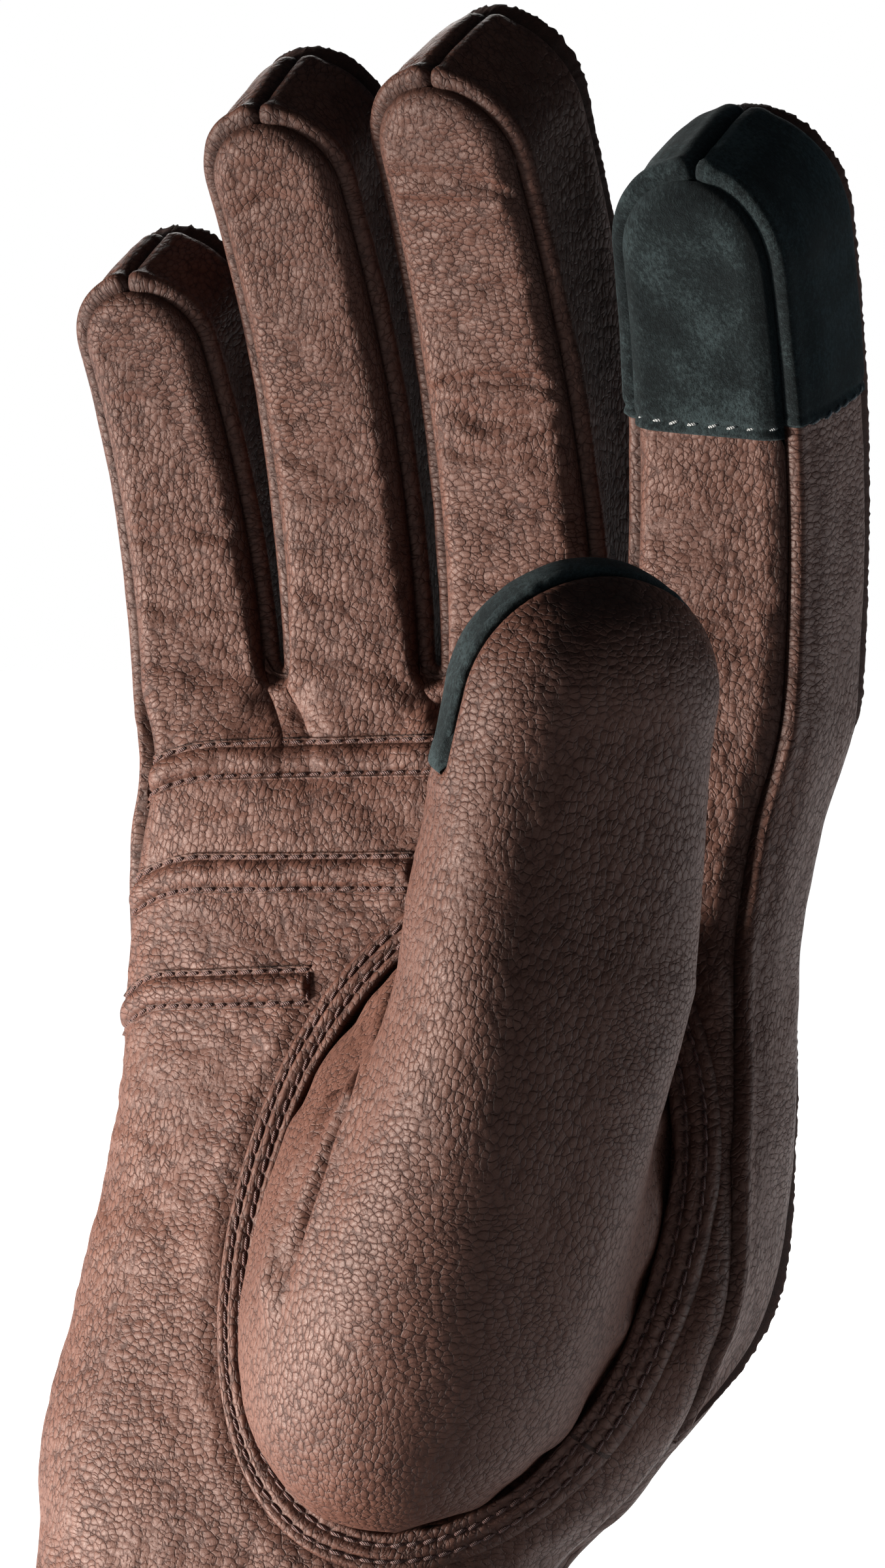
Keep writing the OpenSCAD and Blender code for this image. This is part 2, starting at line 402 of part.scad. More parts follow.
module index_patch_stitching() color([0.6, 0.62, 0.62]) cords([
    [[for (i = [0:8]) skin(D[3], rs * 0.97 * (i / 4 - 1), hp0 + 4, 1, -0.5)],
     [for (i = [0:8]) dp(D[3], 0, hp0 + 4, 0) - dp(D[3], 0, hp0 + 4, 1)]]], 0.25);

// Thumb end: leather back, suede palm side, rolled edge between them
module thumb_back() color(leather) shell(tip_grid(td, -1, 0, joint_gap / 2, 12, 8, 0.9999),
    tip_grid(td, -1, leather_t, joint_gap / 2, 12, 8, 0.9999));
function side_cell(off) = [for (j = [0:4]) [for (i = [0:12])
    skin(td, sp(sin(mix(-89.3, 89.3, i / 12)), 2 / td[10]),
        mix(joint_gap / 2, thumb_h - 0.15, j / 4), 1, off)]];
module thumb_side() color(leather) shell(side_cell(0), side_cell(leather_t));
module thumb_patch() color(suede) shell(tip_grid(td, 1, 0, thumb_h + 0.15, 12, 7, 0.9999),
    tip_grid(td, 1, leather_t, thumb_h + 0.15, 12, 7, 0.9999));
module thumb_tip_edge() color(suede) shell(
    [for (j = [0:24]) [for (i = [0, 1]) rim_pt(j / 24, i == 0 ? -2.6 : 0.6, 1.3)]],
    [for (j = [0:24]) [for (i = [0, 1]) rim_pt(j / 24, i == 0 ? -2.6 : 0.6, 0.15)]]);
function rim_pt(q, e, lift) = let(hm = td[7] - arch(td), R = arch(td), be = mix(-15, 195, q),
    b = lim(be, 0, 180), down = be < 0 ? -be / 15 : be > 180 ? (be - 180) / 15 : 0,
    h = hm - down * (hm - thumb_h) + R * sin(b),
    w = wd(td, min(h, hm)))
    dp(td, -cos(b) * (w[0] + lift), h + lift * sin(b), e);
module thumb_lining() lining(td);

palm_panel();
back_panel();
strip_index();
strip_little();
fourchette_index_middle();
fourchette_middle_ring();
fourchette_ring_little();
thumb_base();
thumb_opening_binding();
thumb_opening_stitching();
palm_pleats();
palm_stitching();
back_points();
hem();
hem_stitching();
wrist_elastic();
hand_lining();
finger_lining();
little_front();
little_back();
little_strip_outer();
little_strip_inner();
little_lining();
ring_front();
ring_back();
ring_strip_outer();
ring_strip_inner();
ring_lining();
middle_front();
middle_back();
middle_strip_outer();
middle_strip_inner();
middle_lining();
index_front();
index_back();
index_strip_outer();
index_strip_inner();
index_lining();
index_patch_front();
index_patch_outer();
index_patch_inner();
index_patch_stitching();
thumb_back();
thumb_side();
thumb_patch();
thumb_tip_edge();
thumb_lining();
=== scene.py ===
import json
import math
import bpy
import numpy as np
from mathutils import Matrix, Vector
from mathutils.kdtree import KDTree

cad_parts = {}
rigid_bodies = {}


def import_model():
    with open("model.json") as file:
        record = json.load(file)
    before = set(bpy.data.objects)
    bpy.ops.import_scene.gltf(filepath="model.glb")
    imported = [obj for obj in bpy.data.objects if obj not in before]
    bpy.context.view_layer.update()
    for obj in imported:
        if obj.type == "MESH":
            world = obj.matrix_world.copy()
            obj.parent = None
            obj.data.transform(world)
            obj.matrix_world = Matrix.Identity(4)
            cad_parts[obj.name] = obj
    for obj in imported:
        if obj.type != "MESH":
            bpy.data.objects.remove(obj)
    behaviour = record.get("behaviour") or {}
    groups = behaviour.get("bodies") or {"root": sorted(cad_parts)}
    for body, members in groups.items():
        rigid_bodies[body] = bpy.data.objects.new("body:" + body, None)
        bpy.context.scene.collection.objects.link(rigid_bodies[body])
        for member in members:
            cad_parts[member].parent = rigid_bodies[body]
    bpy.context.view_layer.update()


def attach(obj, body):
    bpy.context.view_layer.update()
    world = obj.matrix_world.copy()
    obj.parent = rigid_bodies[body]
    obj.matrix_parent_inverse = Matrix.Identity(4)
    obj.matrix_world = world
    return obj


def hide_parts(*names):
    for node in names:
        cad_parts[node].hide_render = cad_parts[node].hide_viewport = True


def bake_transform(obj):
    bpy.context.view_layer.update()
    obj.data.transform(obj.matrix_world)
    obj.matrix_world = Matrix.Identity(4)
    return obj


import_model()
PI = math.pi
rad = np.radians

# ------------------------------------------------------------------ curves (mm)
# RS: a seam's place as a share of the half width; NF: a finger's roundness; WEB: height of the finger roots
RS, NF, WEB = 0.86, 3.6, 190.0
WAIST = 54.0
# Half widths and middles of the four fingers at their roots, then the hand's sections:
# height, middle x and y, half width, half depth, roundness.
FA = [12.6, 12.6, 14.0, 15.8]
FX = [-11.4, 15.0, 42.8, 73.8]
ST = np.array([
    [0, 0, 0, 48, 33, 2.3],
    [30, 2.5, 1, 45, 29.5, 2.3],
    [56, 5.6, 2, 42, 26, 2.4],
    [70, 11.5, 3.5, 48.6, 25, 2.5],
    [94, 22.0, 6.5, 54.9, 22.8, 2.6],
    [117, 26.5, 9, 54.7, 20.5, 2.8],
    [152, 28.3, 11.5, 53.9, 17.5, 3.0],
    [190, 32.8, 12, 57.8, 14.5, 3.4]], float)
SLOPE = (ST[1:] - ST[:-1]) / (ST[1:, 0] - ST[:-1, 0])[:, None]
TANGENT = np.vstack([SLOPE[:1], (SLOPE[1:] + SLOPE[:-1]) / 2, SLOPE[-1:]])


def sp(v, e):
    """A power that keeps the sign of its base."""
    return np.sign(v) * np.abs(v) ** e


def mix(a, b, s):
    """From a at s 0 to b at s 1."""
    return a + (b - a) * s


def smooth(s, a=0.0, b=1.0):
    """A soft step from 0 at a to 1 at b."""
    q = np.clip((np.asarray(s, float) - a) / (b - a), 0, 1)
    return q * q * (3 - 2 * q)


def bump(x, c, w):
    """A soft hill of height 1 at c."""
    return np.exp(-((x - c) / w) ** 2)


def dip(e, w):
    """A groove of depth 1 at e 0 that has run out at w."""
    return np.clip(1 - e / w, 0, 1) ** 2


def rise_of(e, w):
    """The round front of a cut edge: 0 at e 0, full height from w on."""
    return np.clip(e / w, 0, 1) ** 0.5


def hand(z):
    """Middle x and y, half width, half depth and roundness of the hand at height z."""
    z = np.asarray(z, float)
    i = np.clip(np.searchsorted(ST[:, 0], z, side="right") - 1, 0, len(ST) - 2)
    h = ST[i + 1, 0] - ST[i, 0]
    s = ((z - ST[i, 0]) / h)[..., None]
    h = h[..., None]
    s2, s3 = s * s, s * s * s
    c = ((2 * s3 - 3 * s2 + 1) * ST[i] + (s3 - 2 * s2 + s) * h * TANGENT[i]
         + (3 * s2 - 2 * s3) * ST[i + 1] + (s3 - s2) * h * TANGENT[i + 1])
    return [c[..., k] for k in range(1, 6)]


def grid3(x, y, z):
    """Three coordinates, spread over one grid, as points."""
    return np.stack(np.broadcast_arrays(x, y, z), -1)


def hp(z, phi, side):
    """A point of the hand's skin at height z and angle phi; side is 1 on the palm, -1 on the back."""
    cx, cy, a, b, n = hand(z)
    return grid3(cx + a * sp(np.sin(phi), 2 / n), cy - side * b * sp(np.cos(phi), 2 / n), z)


def phi_x(z, x):
    """The angle at which the hand's skin has this x."""
    cx, cy, a, b, n = hand(z)
    return np.arcsin(np.clip(sp((x - cx) / a, n / 2), -1, 1))


def strip_r(z):
    """How far the index finger's side strip reaches round the hand, as a share of the half depth."""
    z = np.asarray(z, float)
    return np.where(z < 73, 0, np.where(z < 94, 0.35 * smooth(z, 73, 94),
                    np.where(z < 120, mix(0.35, 0.55, (z - 94) / 26), mix(0.55, 0.70, smooth(z, 115, 190)))))


def strip_l(z):
    """The same for the little finger's side strip."""
    return 0.8 * smooth(z, 120, 190)


def phi_e(z, f):
    """The angle at which the hand's skin is at share f of its half depth."""
    return np.arccos(f ** (hand(z)[4] / 2))


class Digit:
    """A finger or the thumb: a flattened tube with a round tip on a bent axis."""

    def __init__(s, base, lean, yaw, a0, a1, b0, b1, length, curl, cut, n, roll):
        s.base, s.a0, s.a1, s.b0, s.b1, s.L, s.n = np.array(base, float), a0, a1, b0, b1, length, n
        s.cut, s.roll, s.R = cut * length, rad(roll), a1 * 1.08
        s.hm = length - s.R
        s.U = np.array([math.sin(rad(lean)), 0, math.cos(rad(lean))])
        f = np.array([math.sin(rad(yaw)), -math.cos(rad(yaw)), 0])
        f = f - s.U * (f @ s.U)
        s.F = f / np.linalg.norm(f)
        s.X = np.cross(s.U, s.F)
        s.k = rad(curl) / length

    def wd(s, h):
        """Half width and half depth at distance h from the root."""
        q = np.clip(np.asarray(h, float) / s.L, 0, 1)
        return mix(s.a0, s.a1, q), mix(s.b0, s.b1, q)

    def dp(s, x, h, e):
        """The point x across, h along the bent axis and e towards the digit's back."""
        x, h, e = np.broadcast_arrays(*[np.asarray(v, float) for v in (x, h, e)])
        t = s.k * h
        ro = s.roll * smooth(h / s.L)
        st, ct = np.sin(t)[..., None], np.cos(t)[..., None]
        xr = (x * np.cos(ro) + e * np.sin(ro))[..., None]
        er = (e * np.cos(ro) - x * np.sin(ro))[..., None]
        return (s.base + s.U * st / s.k + s.F * (1 - ct) / s.k + s.X * xr + (s.U * st - s.F * ct) * er)

    def dep(s, r):
        """Share of the half depth at share r of the half width."""
        return (1 - np.clip(r, 0, 1) ** s.n) ** (1 / s.n)

    def skin(s, u, h, side, off=0.0):
        """A point of the front (side 1) or back (side -1), sunk by off."""
        u, h = np.broadcast_arrays(np.asarray(u, float), np.asarray(h, float))
        w = s.wd(np.minimum(h, s.hm))
        r = np.where(h <= s.hm, np.abs(u), np.hypot(u, (h - s.hm) / s.R))
        hh = np.where(h <= s.hm, h, s.hm + (h - s.hm) * (s.R - off) / s.R)
        return s.dp(u * (w[0] - off), hh, -side * (w[1] - off) * s.dep(r))

    def strip(s, side, p, ta, off=0.0):
        """p is the distance along the outline from the digit's root, ta the depth angle."""
        p, ta = np.broadcast_arrays(np.asarray(p, float), np.asarray(ta, float))
        la = PI * s.R / 2
        be = np.clip((p - s.hm) / la, 0, 1) * PI / 2
        h = np.minimum(p, s.hm)
        w = s.wd(h)
        rho = np.cos(ta) ** (2 / s.n)
        return s.dp(side * (w[0] - off) * rho * np.cos(be), h + (s.R - off) * rho * np.sin(be),
                    (w[1] - off) * sp(np.sin(ta), 2 / s.n))

    def axis_pt(s, h):
        return s.dp(0, h, 0)


def edge_share(k, s, side, be):
    """How far out a finger's side seam lies, as a share of its half width, at angle be round the tip."""
    foot = 0.72 if (k, s, side) == (3, 1, 1) else RS
    return mix(foot, RS, smooth(be, 0, PI / 2))


NAMES = ["little", "ring", "middle", "index"]
D = [Digit((FX[0], 12, WEB), -4.5, 0, FA[0], 11.4, 12, 10.4, 68, 32, 0.4, NF, 3),
     Digit((FX[1], 12, WEB), -2.5, 0, FA[1], 12.2, 13, 11.2, 95, 36, 0.42, NF, 3),
     Digit((FX[2], 12, WEB), -1, 0, FA[2], 13.8, 13.5, 12, 100, 36, 0.42, NF, 11),
     Digit((FX[3], 12, WEB), 4.5, 0, FA[3], 14.8, 13.5, 12, 84, 34, 0.4, NF, 4)]
TH = Digit((62, -33, 150), 6, -132, 21, 18, 17, 13.5, 58, -20, 0, 2.6, 0)
# Where the suede starts: on the thumb and on the index finger, as a distance from the digit's root.
TH_PATCH = 28.0
PATCH0 = 39.0
TS = math.acos(RS ** (NF / 2))

# ------------------------------------------------------------------ noise


def hash_of(i, j, k, seed):
    n = (i * 374761393 + j * 668265263 + k * 2147483647 + seed * 144665) & 0xFFFFFFFF
    n = ((n ^ (n >> 13)) * 1274126177) & 0xFFFFFFFF
    n = ((n ^ (n >> 16)) * 2246822519) & 0xFFFFFFFF
    return ((n ^ (n >> 15)) & 0xFFFFFF) / float(0xFFFFFF)


def vn(p, scale, seed=0):
    """Smooth value noise from -1 to 1."""
    q = np.asarray(p, float) / np.asarray(scale, float)
    i = np.floor(q).astype(np.int64)
    f = q - i
    w = f * f * f * (f * (f * 6 - 15) + 10)
    out = 0
    for a in (0, 1):
        for b in (0, 1):
            for c in (0, 1):
                out = out + (hash_of(i[..., 0] + a, i[..., 1] + b, i[..., 2] + c, seed)
                             * (w[..., 0] if a else 1 - w[..., 0]) * (w[..., 1] if b else 1 - w[..., 1])
                             * (w[..., 2] if c else 1 - w[..., 2]))
    return out * 2 - 1


def fbm(p, scale, seed=0, octaves=3):
    """Several layers of noise, each finer and weaker."""
    s, a = 0, 1.0
    for o in range(octaves):
        s = s + a * vn(p, np.asarray(scale, float) / 2 ** o, seed + 17 * o)
        a *= 0.5
    return s


# ------------------------------------------------------------------ mesh helpers
def grid_normals(P, wrap=False):
    if wrap:
        du = np.roll(P, -1, 1) - np.roll(P, 1, 1)
    else:
        du = np.gradient(P, axis=1)
    dv = np.gradient(P, axis=0)
    n = np.cross(du, dv)
    return n / np.maximum(np.linalg.norm(n, axis=-1, keepdims=True), 1e-9)


def arc(P, axis):
    """Distance run along the rows or columns of a grid."""
    d = np.linalg.norm(np.diff(P, axis=axis), axis=-1)
    z = np.zeros_like(np.take(d, [0], axis=axis))
    return np.cumsum(np.concatenate([z, d], axis=axis), axis=axis)


def quads(nv, nu, wrap=False, base=0):
    """The faces of a grid."""
    c = nu if wrap else nu + 1
    j, i = np.meshgrid(np.arange(nv), np.arange(nu), indexing="ij")
    i2 = (i + 1) % c if wrap else i + 1
    return np.stack([j * c + i, j * c + i2, (j + 1) * c + i2, (j + 1) * c + i], -1).reshape(-1, 4) + base


class Build:
    """Collects grids of points, with attributes, into one mesh."""

    def __init__(s):
        s.v, s.f, s.sc, s.dk, s.n, s.has_n = [], [], [], [], [], False
        s.count = 0

    def grid(s, P, sc, dk, wrap=False, flip=False, normals=None):
        """Adds a grid of points P with its texture places sc and its darkening dk: painted shade, with some
        dirt, at seams, grooves and tucked edges.
        """
        nv, nu = P.shape[0] - 1, P.shape[1] - (0 if wrap else 1)
        q = quads(nv, nu, wrap, s.count)
        s.f.append(q[:, ::-1] if flip else q)
        s.v.append(P.reshape(-1, 3))
        sc = np.broadcast_to(sc, P.shape) if np.ndim(sc) < 3 else sc
        s.sc.append(sc.reshape(-1, 3))
        s.dk.append(np.broadcast_to(dk, P.shape[:2]).reshape(-1))
        if normals is not None:
            s.has_n = True
            s.n.append(normals.reshape(-1, 3))
        else:
            s.n.append(np.zeros((P.shape[0] * P.shape[1], 3)))
        s.count += P.shape[0] * P.shape[1]
        return s

    def raw(s, V, F):
        s.f.append(F + s.count)
        s.v.append(V)
        s.sc.append(V)
        s.dk.append(np.zeros(len(V)))
        s.n.append(np.zeros((len(V), 3)))
        s.count += len(V)
        return s

    def make(s, name, mat, nodes, slot, blend=None):
        V = np.concatenate(s.v) / 1000
        name = "glove_" + name
        me = bpy.data.meshes.new(name)
        nf = sum(len(f) for f in s.f)
        me.vertices.add(len(V))
        me.vertices.foreach_set("co", V.astype(np.float32).ravel())
        L = np.concatenate([f.reshape(-1) for f in s.f])
        sizes = np.concatenate([np.full(len(f), f.shape[1]) for f in s.f])
        me.loops.add(len(L))
        me.loops.foreach_set("vertex_index", L.astype(np.int32))
        me.polygons.add(nf)
        me.polygons.foreach_set("loop_start", np.concatenate([[0], np.cumsum(sizes)[:-1]]).astype(np.int32))
        me.polygons.foreach_set("loop_total", sizes.astype(np.int32))
        me.update(calc_edges=True)
        a = me.attributes.new("sc", "FLOAT_VECTOR", "POINT")
        a.data.foreach_set("vector", np.concatenate(s.sc).astype(np.float32).ravel())
        # darkening attribute: painted shade in seams, grooves and recesses, with some dirt
        a = me.attributes.new("dk", "FLOAT", "POINT")
        a.data.foreach_set("value", np.concatenate(s.dk).astype(np.float32))
        me.polygons.foreach_set("use_smooth", np.ones(nf, bool))
        if s.has_n:
            me.normals_split_custom_set_from_vertices(np.concatenate(s.n).astype(np.float32))
        me.materials.append(mat)
        o = bpy.data.objects.new(name, me)
        bpy.context.scene.collection.objects.link(o)
        if blend:
            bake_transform(o)
        else:
            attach(o, "hand")
        if nodes:
            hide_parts(*nodes)


def bend_of(k):
    """The name of the body at a digit's end and the stretch of its axis round the cut, 13 mm each way."""
    d, name = (TH, "thumb") if k == 4 else (D[k], NAMES[k])
    reach = 13.0
    a = d.axis_pt(d.cut - reach) / 1000
    b = d.axis_pt(d.cut + reach) / 1000
    return (name + "_end", tuple(a), tuple(b))


# ------------------------------------------------------------------ materials
class Nodes:
    """A short way to write a material's node tree."""

    def __init__(s, name):
        s.mat = bpy.data.materials.new(name)
        s.mat.use_nodes = True
        s.t = s.mat.node_tree
        s.t.nodes.clear()

    def add(s, kind, set=None, **inputs):
        n = s.t.nodes.new(kind)
        for a, v in (set or {}).items():
            setattr(n, a, v)
        for key, v in inputs.items():
            key = key.replace("_", " ")
            sock = n.inputs[int(key[1:])] if key[0] == "i" and key[1:].isdigit() else n.inputs[key]
            if isinstance(v, bpy.types.NodeSocket):
                s.t.links.new(v, sock)
            else:
                sock.default_value = v
        return n

    def math(s, op, a, b, clamp):
        return s.add("ShaderNodeMath", {"operation": op, "use_clamp": clamp}, i0=a, i1=b).outputs[0]

    def mul(s, a, b, clamp=False):
        return s.math("MULTIPLY", a, b, clamp)

    def plus(s, a, b):
        return s.math("ADD", a, b, False)

    def less(s, a, b, clamp=False):
        return s.math("SUBTRACT", a, b, clamp)

    def noise(s, **inputs):
        return s.add("ShaderNodeTexNoise", None, **inputs).outputs[0]

    def vec(s, op, a, b=(0, 0, 0)):
        n = s.add("ShaderNodeVectorMath", {"operation": op}, i0=a)
        if op == "SCALE":
            n.inputs["Scale"].default_value = b
        elif isinstance(b, bpy.types.NodeSocket):
            s.t.links.new(b, n.inputs[1])
        else:
            n.inputs[1].default_value = b
        return n.outputs[0]

    def ramp(s, fac, stops):
        n = s.add("ShaderNodeValToRGB", None, Fac=fac)
        e = n.color_ramp.elements
        while len(e) < len(stops):
            e.new(0.5)
        for el, (pos, col) in zip(e, stops):
            el.position = pos
            el.color = (*col, 1) if len(col) == 3 else col
        return n.outputs[0]

    def step(s, v, a, b):
        kind = {"interpolation_type": "SMOOTHSTEP"}
        return s.add("ShaderNodeMapRange", kind, Value=v, From_Min=a, From_Max=b).outputs[0]

    def colour(s, a, b, f, blend="MIX"):
        n = s.t.nodes.new("ShaderNodeMix")
        n.data_type, n.blend_type = "RGBA", blend
        for sock, v in ((n.inputs[0], f), (n.inputs[6], a), (n.inputs[7], b)):
            if isinstance(v, bpy.types.NodeSocket):
                s.t.links.new(v, sock)
            else:
                sock.default_value = (*v, 1) if isinstance(v, tuple) else v
        return n.outputs[2]

    def attr(s, name, out):
        return s.add("ShaderNodeAttribute", {"attribute_name": name}).outputs[out]

    def finish(s, colour, rough, height, depth, **more):
        bump_n = s.add("ShaderNodeBump", None, Height=height, Distance=depth, Strength=1.0)
        b = s.add("ShaderNodeBsdfPrincipled", None, Base_Color=colour, Roughness=rough,
                  Normal=bump_n.outputs[0], **more)
        o = s.add("ShaderNodeOutputMaterial")
        s.t.links.new(b.outputs[0], o.inputs[0])
        return s.mat


def leather(name, deep, body, light):
    """Sheepskin: smooth pebbles parted by thin grooves, soft mottling, painted shade in the grooves and
    pores, a painted highlight with some wear on the pebble tops, and painted shade with dirt at the seams.
    """
    n = Nodes(name)
    sc, dk = n.attr("sc", "Vector"), n.attr("dk", "Fac")
    warp = n.add("ShaderNodeTexNoise", None, Vector=sc, Scale=0.8, Detail=2.0).outputs["Color"]
    p = n.vec("ADD", sc, n.vec("SCALE", n.vec("SUBTRACT", warp, (0.5, 0.5, 0.5)), 0.9))
    flow = n.noise(Vector=sc, Scale=0.03, Detail=1.0)
    wide = n.vec("MULTIPLY", p, (0.66, 1.05, 1.0))
    turned = n.add("ShaderNodeVectorRotate", {"rotation_type": "Z_AXIS"}, Vector=p, Angle=0.35).outputs[0]
    tall = n.vec("MULTIPLY", turned, (1.02, 0.64, 1.0))
    pick = n.step(flow, 0.44, 0.56)

    def cells(v, size):
        kind = {"feature": "DISTANCE_TO_EDGE"}
        return n.add("ShaderNodeTexVoronoi", kind, Vector=v, Scale=size, Randomness=0.8).outputs[0]

    def between(a, b):
        return n.plus(n.mul(a, n.less(1.0, pick)), n.mul(b, pick))

    def rounds(v, size):
        d = n.add("ShaderNodeTexVoronoi", None, Vector=v, Scale=size, Randomness=0.8).outputs["Distance"]
        return n.less(1.0, n.mul(n.mul(d, d), 1.7), clamp=True)

    edge = between(cells(wide, 1.0), cells(tall, 1.0))
    dome = between(rounds(wide, 1.0), rounds(tall, 1.0))
    small = cells(p, 2.3)
    dust = n.noise(Vector=p, Scale=5.0, Detail=3.0)
    patchy = n.noise(Vector=sc, Scale=0.55, Detail=2.0)
    keep = n.step(patchy, 0.30, 0.62)
    groove = n.mul(n.less(1.0, n.step(edge, 0.0, 0.11)), n.plus(0.25, n.mul(keep, 0.6)))
    nick = n.mul(n.less(1.0, n.step(small, 0.0, 0.10)), 0.4)
    ridge = n.noise(Vector=n.vec("MULTIPLY", p, (0.4, 1.0, 1.0)), Scale=0.6, Detail=1.0)
    height = n.less(n.plus(n.mul(dome, 0.55), n.mul(ridge, 0.4)),
                    n.plus(n.mul(groove, 0.30), n.mul(nick, 0.15)))
    height = n.plus(height, n.mul(dust, 0.06))
    mott = n.noise(Vector=sc, Scale=0.06, Detail=4.0, Roughness=0.6)
    # lighter pebble tops in the colour: a painted highlight, partly wear
    tone = n.plus(n.mul(dome, 0.38), n.plus(0.34, n.mul(n.less(mott, 0.5), 0.5)))
    tone = n.plus(tone, n.mul(n.less(dust, 0.5), 0.18))
    # darker grooves and pores in the colour: painted shade
    tone = n.less(tone, n.plus(n.mul(groove, 0.46), n.mul(nick, 0.34)))
    col = n.ramp(tone, [(0.05, deep), (0.5, body), (0.85, light)])
    # painted shade with some dirt: darker near seams, grooves and tucked edges
    col = n.colour(col, tuple(v * 0.3 for v in deep), n.mul(dk, 0.85, clamp=True))
    rough = n.plus(0.6, n.mul(n.less(groove, dome), 0.10))
    return n.finish(col, rough, height, 0.00024, Specular_IOR_Level=0.24)


def suede(name, dark, lit):
    """Brushed suede: fine nap, wider brushing and flecks, with painted shade and some dirt at seams and
    tucked edges.
    """
    n = Nodes(name)
    sc, dk = n.attr("sc", "Vector"), n.attr("dk", "Fac")
    nap = n.noise(Vector=n.vec("MULTIPLY", sc, (1.6, 0.8, 1.0)), Scale=3.4, Detail=4.0, Roughness=0.7)
    fuzz = n.noise(Vector=sc, Scale=7.5, Detail=2.0)
    brush = n.noise(Vector=sc, Scale=0.11, Detail=3.0)
    fleck = n.noise(Vector=n.vec("MULTIPLY", sc, (1.3, 0.8, 1.0)), Scale=1.1, Detail=5.0, Roughness=0.85)
    tone = n.plus(n.mul(nap, 0.3), n.plus(n.mul(brush, 0.45), n.mul(fleck, 0.75)))
    between = tuple(0.82 * a + 0.18 * b for a, b in zip(dark, lit))
    col = n.ramp(tone, [(0.60, dark), (0.74, between), (0.88, lit)])
    # painted shade with some dirt near seams and tucked edges
    col = n.colour(col, (0.002, 0.003, 0.004), n.mul(dk, 0.8, clamp=True))
    h = n.plus(n.plus(n.mul(nap, 0.5), n.mul(fuzz, 0.3)), n.mul(fleck, 1.0))
    return n.finish(col, 0.95, h, 0.00045, Specular_IOR_Level=0.15, Sheen_Weight=0.22, Sheen_Roughness=0.4,
                    Sheen_Tint=(0.35, 0.46, 0.5, 1))


def fibre(name, dark, lit, scale, depth, rough=0.85):
    """Raw leather edge: matted fibres, darker where their relief is low, with painted shade and some dirt
    where the edge meets its seam.
    """
    n = Nodes(name)
    sc, dk = n.attr("sc", "Vector"), n.attr("dk", "Fac")
    a = n.noise(Vector=sc, Scale=scale, Detail=5.0, Roughness=0.7)
    b = n.noise(Vector=sc, Scale=scale * 0.3, Detail=2.0)
    col = n.ramp(n.plus(n.mul(a, 0.7), n.mul(b, 0.4)), [(0.35, dark), (0.75, lit)])
    # painted shade with some dirt at the edge's foot and in its split
    col = n.colour(col, tuple(v * 0.3 for v in dark), n.mul(dk, 0.7, clamp=True))
    return n.finish(col, rough, a, depth, Specular_IOR_Level=0.25)


def twisted(name, dark, lit):
    """Thread: fine diagonal plies."""
    n = Nodes(name)
    sc = n.attr("sc", "Vector")
    w = n.add("ShaderNodeTexWave", {"bands_direction": "DIAGONAL"},
              Vector=sc, Scale=1.5, Distortion=1.2, Detail=2.0).outputs["Fac"]
    f = n.noise(Vector=sc, Scale=6.0, Detail=2.0)
    h = n.plus(n.mul(w, 0.7), n.mul(f, 0.4))
    return n.finish(n.ramp(h, [(0.2, dark), (0.8, lit)]), 0.62, h, 0.00012,
                    Specular_IOR_Level=0.4, Sheen_Weight=0.2)


def knit(name, dark, lit, scale):
    """Knitted cloth: two crossed sets of ribs."""
    n = Nodes(name)
    sc = n.attr("sc", "Vector")
    kinds = [{"bands_direction": axis} for axis in "XY"]
    a = n.add("ShaderNodeTexWave", kinds[0], Vector=sc, Scale=scale, Distortion=0.6).outputs["Fac"]
    b = n.add("ShaderNodeTexWave", kinds[1], Vector=sc, Scale=scale * 1.2, Distortion=0.9).outputs["Fac"]
    f = n.noise(Vector=sc, Scale=4.0, Detail=3.0)
    h = n.plus(n.mul(n.mul(a, b), 0.9), n.mul(f, 0.35))
    return n.finish(n.ramp(h, [(0.1, dark), (0.9, lit)]), 0.9, h, 0.0003, Sheen_Weight=0.3)


LEATHER = leather("brown_leather", (0.046, 0.0170, 0.0115), (0.104, 0.0425, 0.0290), (0.156, 0.0725, 0.0520))
SUEDE = suede("slate_suede", (0.0016, 0.0030, 0.0037), (0.050, 0.074, 0.080))
RAW = fibre("raw_leather_edge", (0.016, 0.0062, 0.0045), (0.085, 0.031, 0.021), 3.2, 0.00035)
THREAD = twisted("brown_thread", (0.030, 0.0085, 0.0065), (0.120, 0.036, 0.026))
GREY_THREAD = twisted("grey_thread", (0.16, 0.18, 0.19), (0.50, 0.53, 0.54))
LINING = knit("knit_lining", (0.006, 0.006, 0.007), (0.045, 0.045, 0.048), 0.55)
ELASTIC = knit("black_elastic", (0.01, 0.01, 0.01), (0.07, 0.07, 0.07), 0.3)


# ------------------------------------------------------------------ seams
# Height of the pointed foot of each outer side strip, by (finger, side).
OUTER = {(3, 1): 77.0, (0, -1): 128.0}


def crotch(k, ta, be):
    """The U between fingers k and k + 1, be from 0 on the first to pi on the second."""
    p, q = D[k].strip(1, 3.0, ta), D[k + 1].strip(-1, 3.0, ta)
    gap = np.linalg.norm(p - q, axis=-1, keepdims=True)
    cb, sb = np.cos(be)[..., None], np.sin(be)[..., None]
    return (p + q) / 2 + (p - q) / 2 * cb - np.array([0, 0, 1.0]) * (gap / 2 + 0.2) * sb


def depth_angle(k, s, t, be):
    """The depth angle at t from -1 at the front seam to 1 at the back seam."""
    front, rear = edge_share(k, s, 1, be), edge_share(k, s, -1, be)
    return np.where(t < 0, t * np.arccos(front ** (NF / 2)), t * np.arccos(rear ** (NF / 2)))


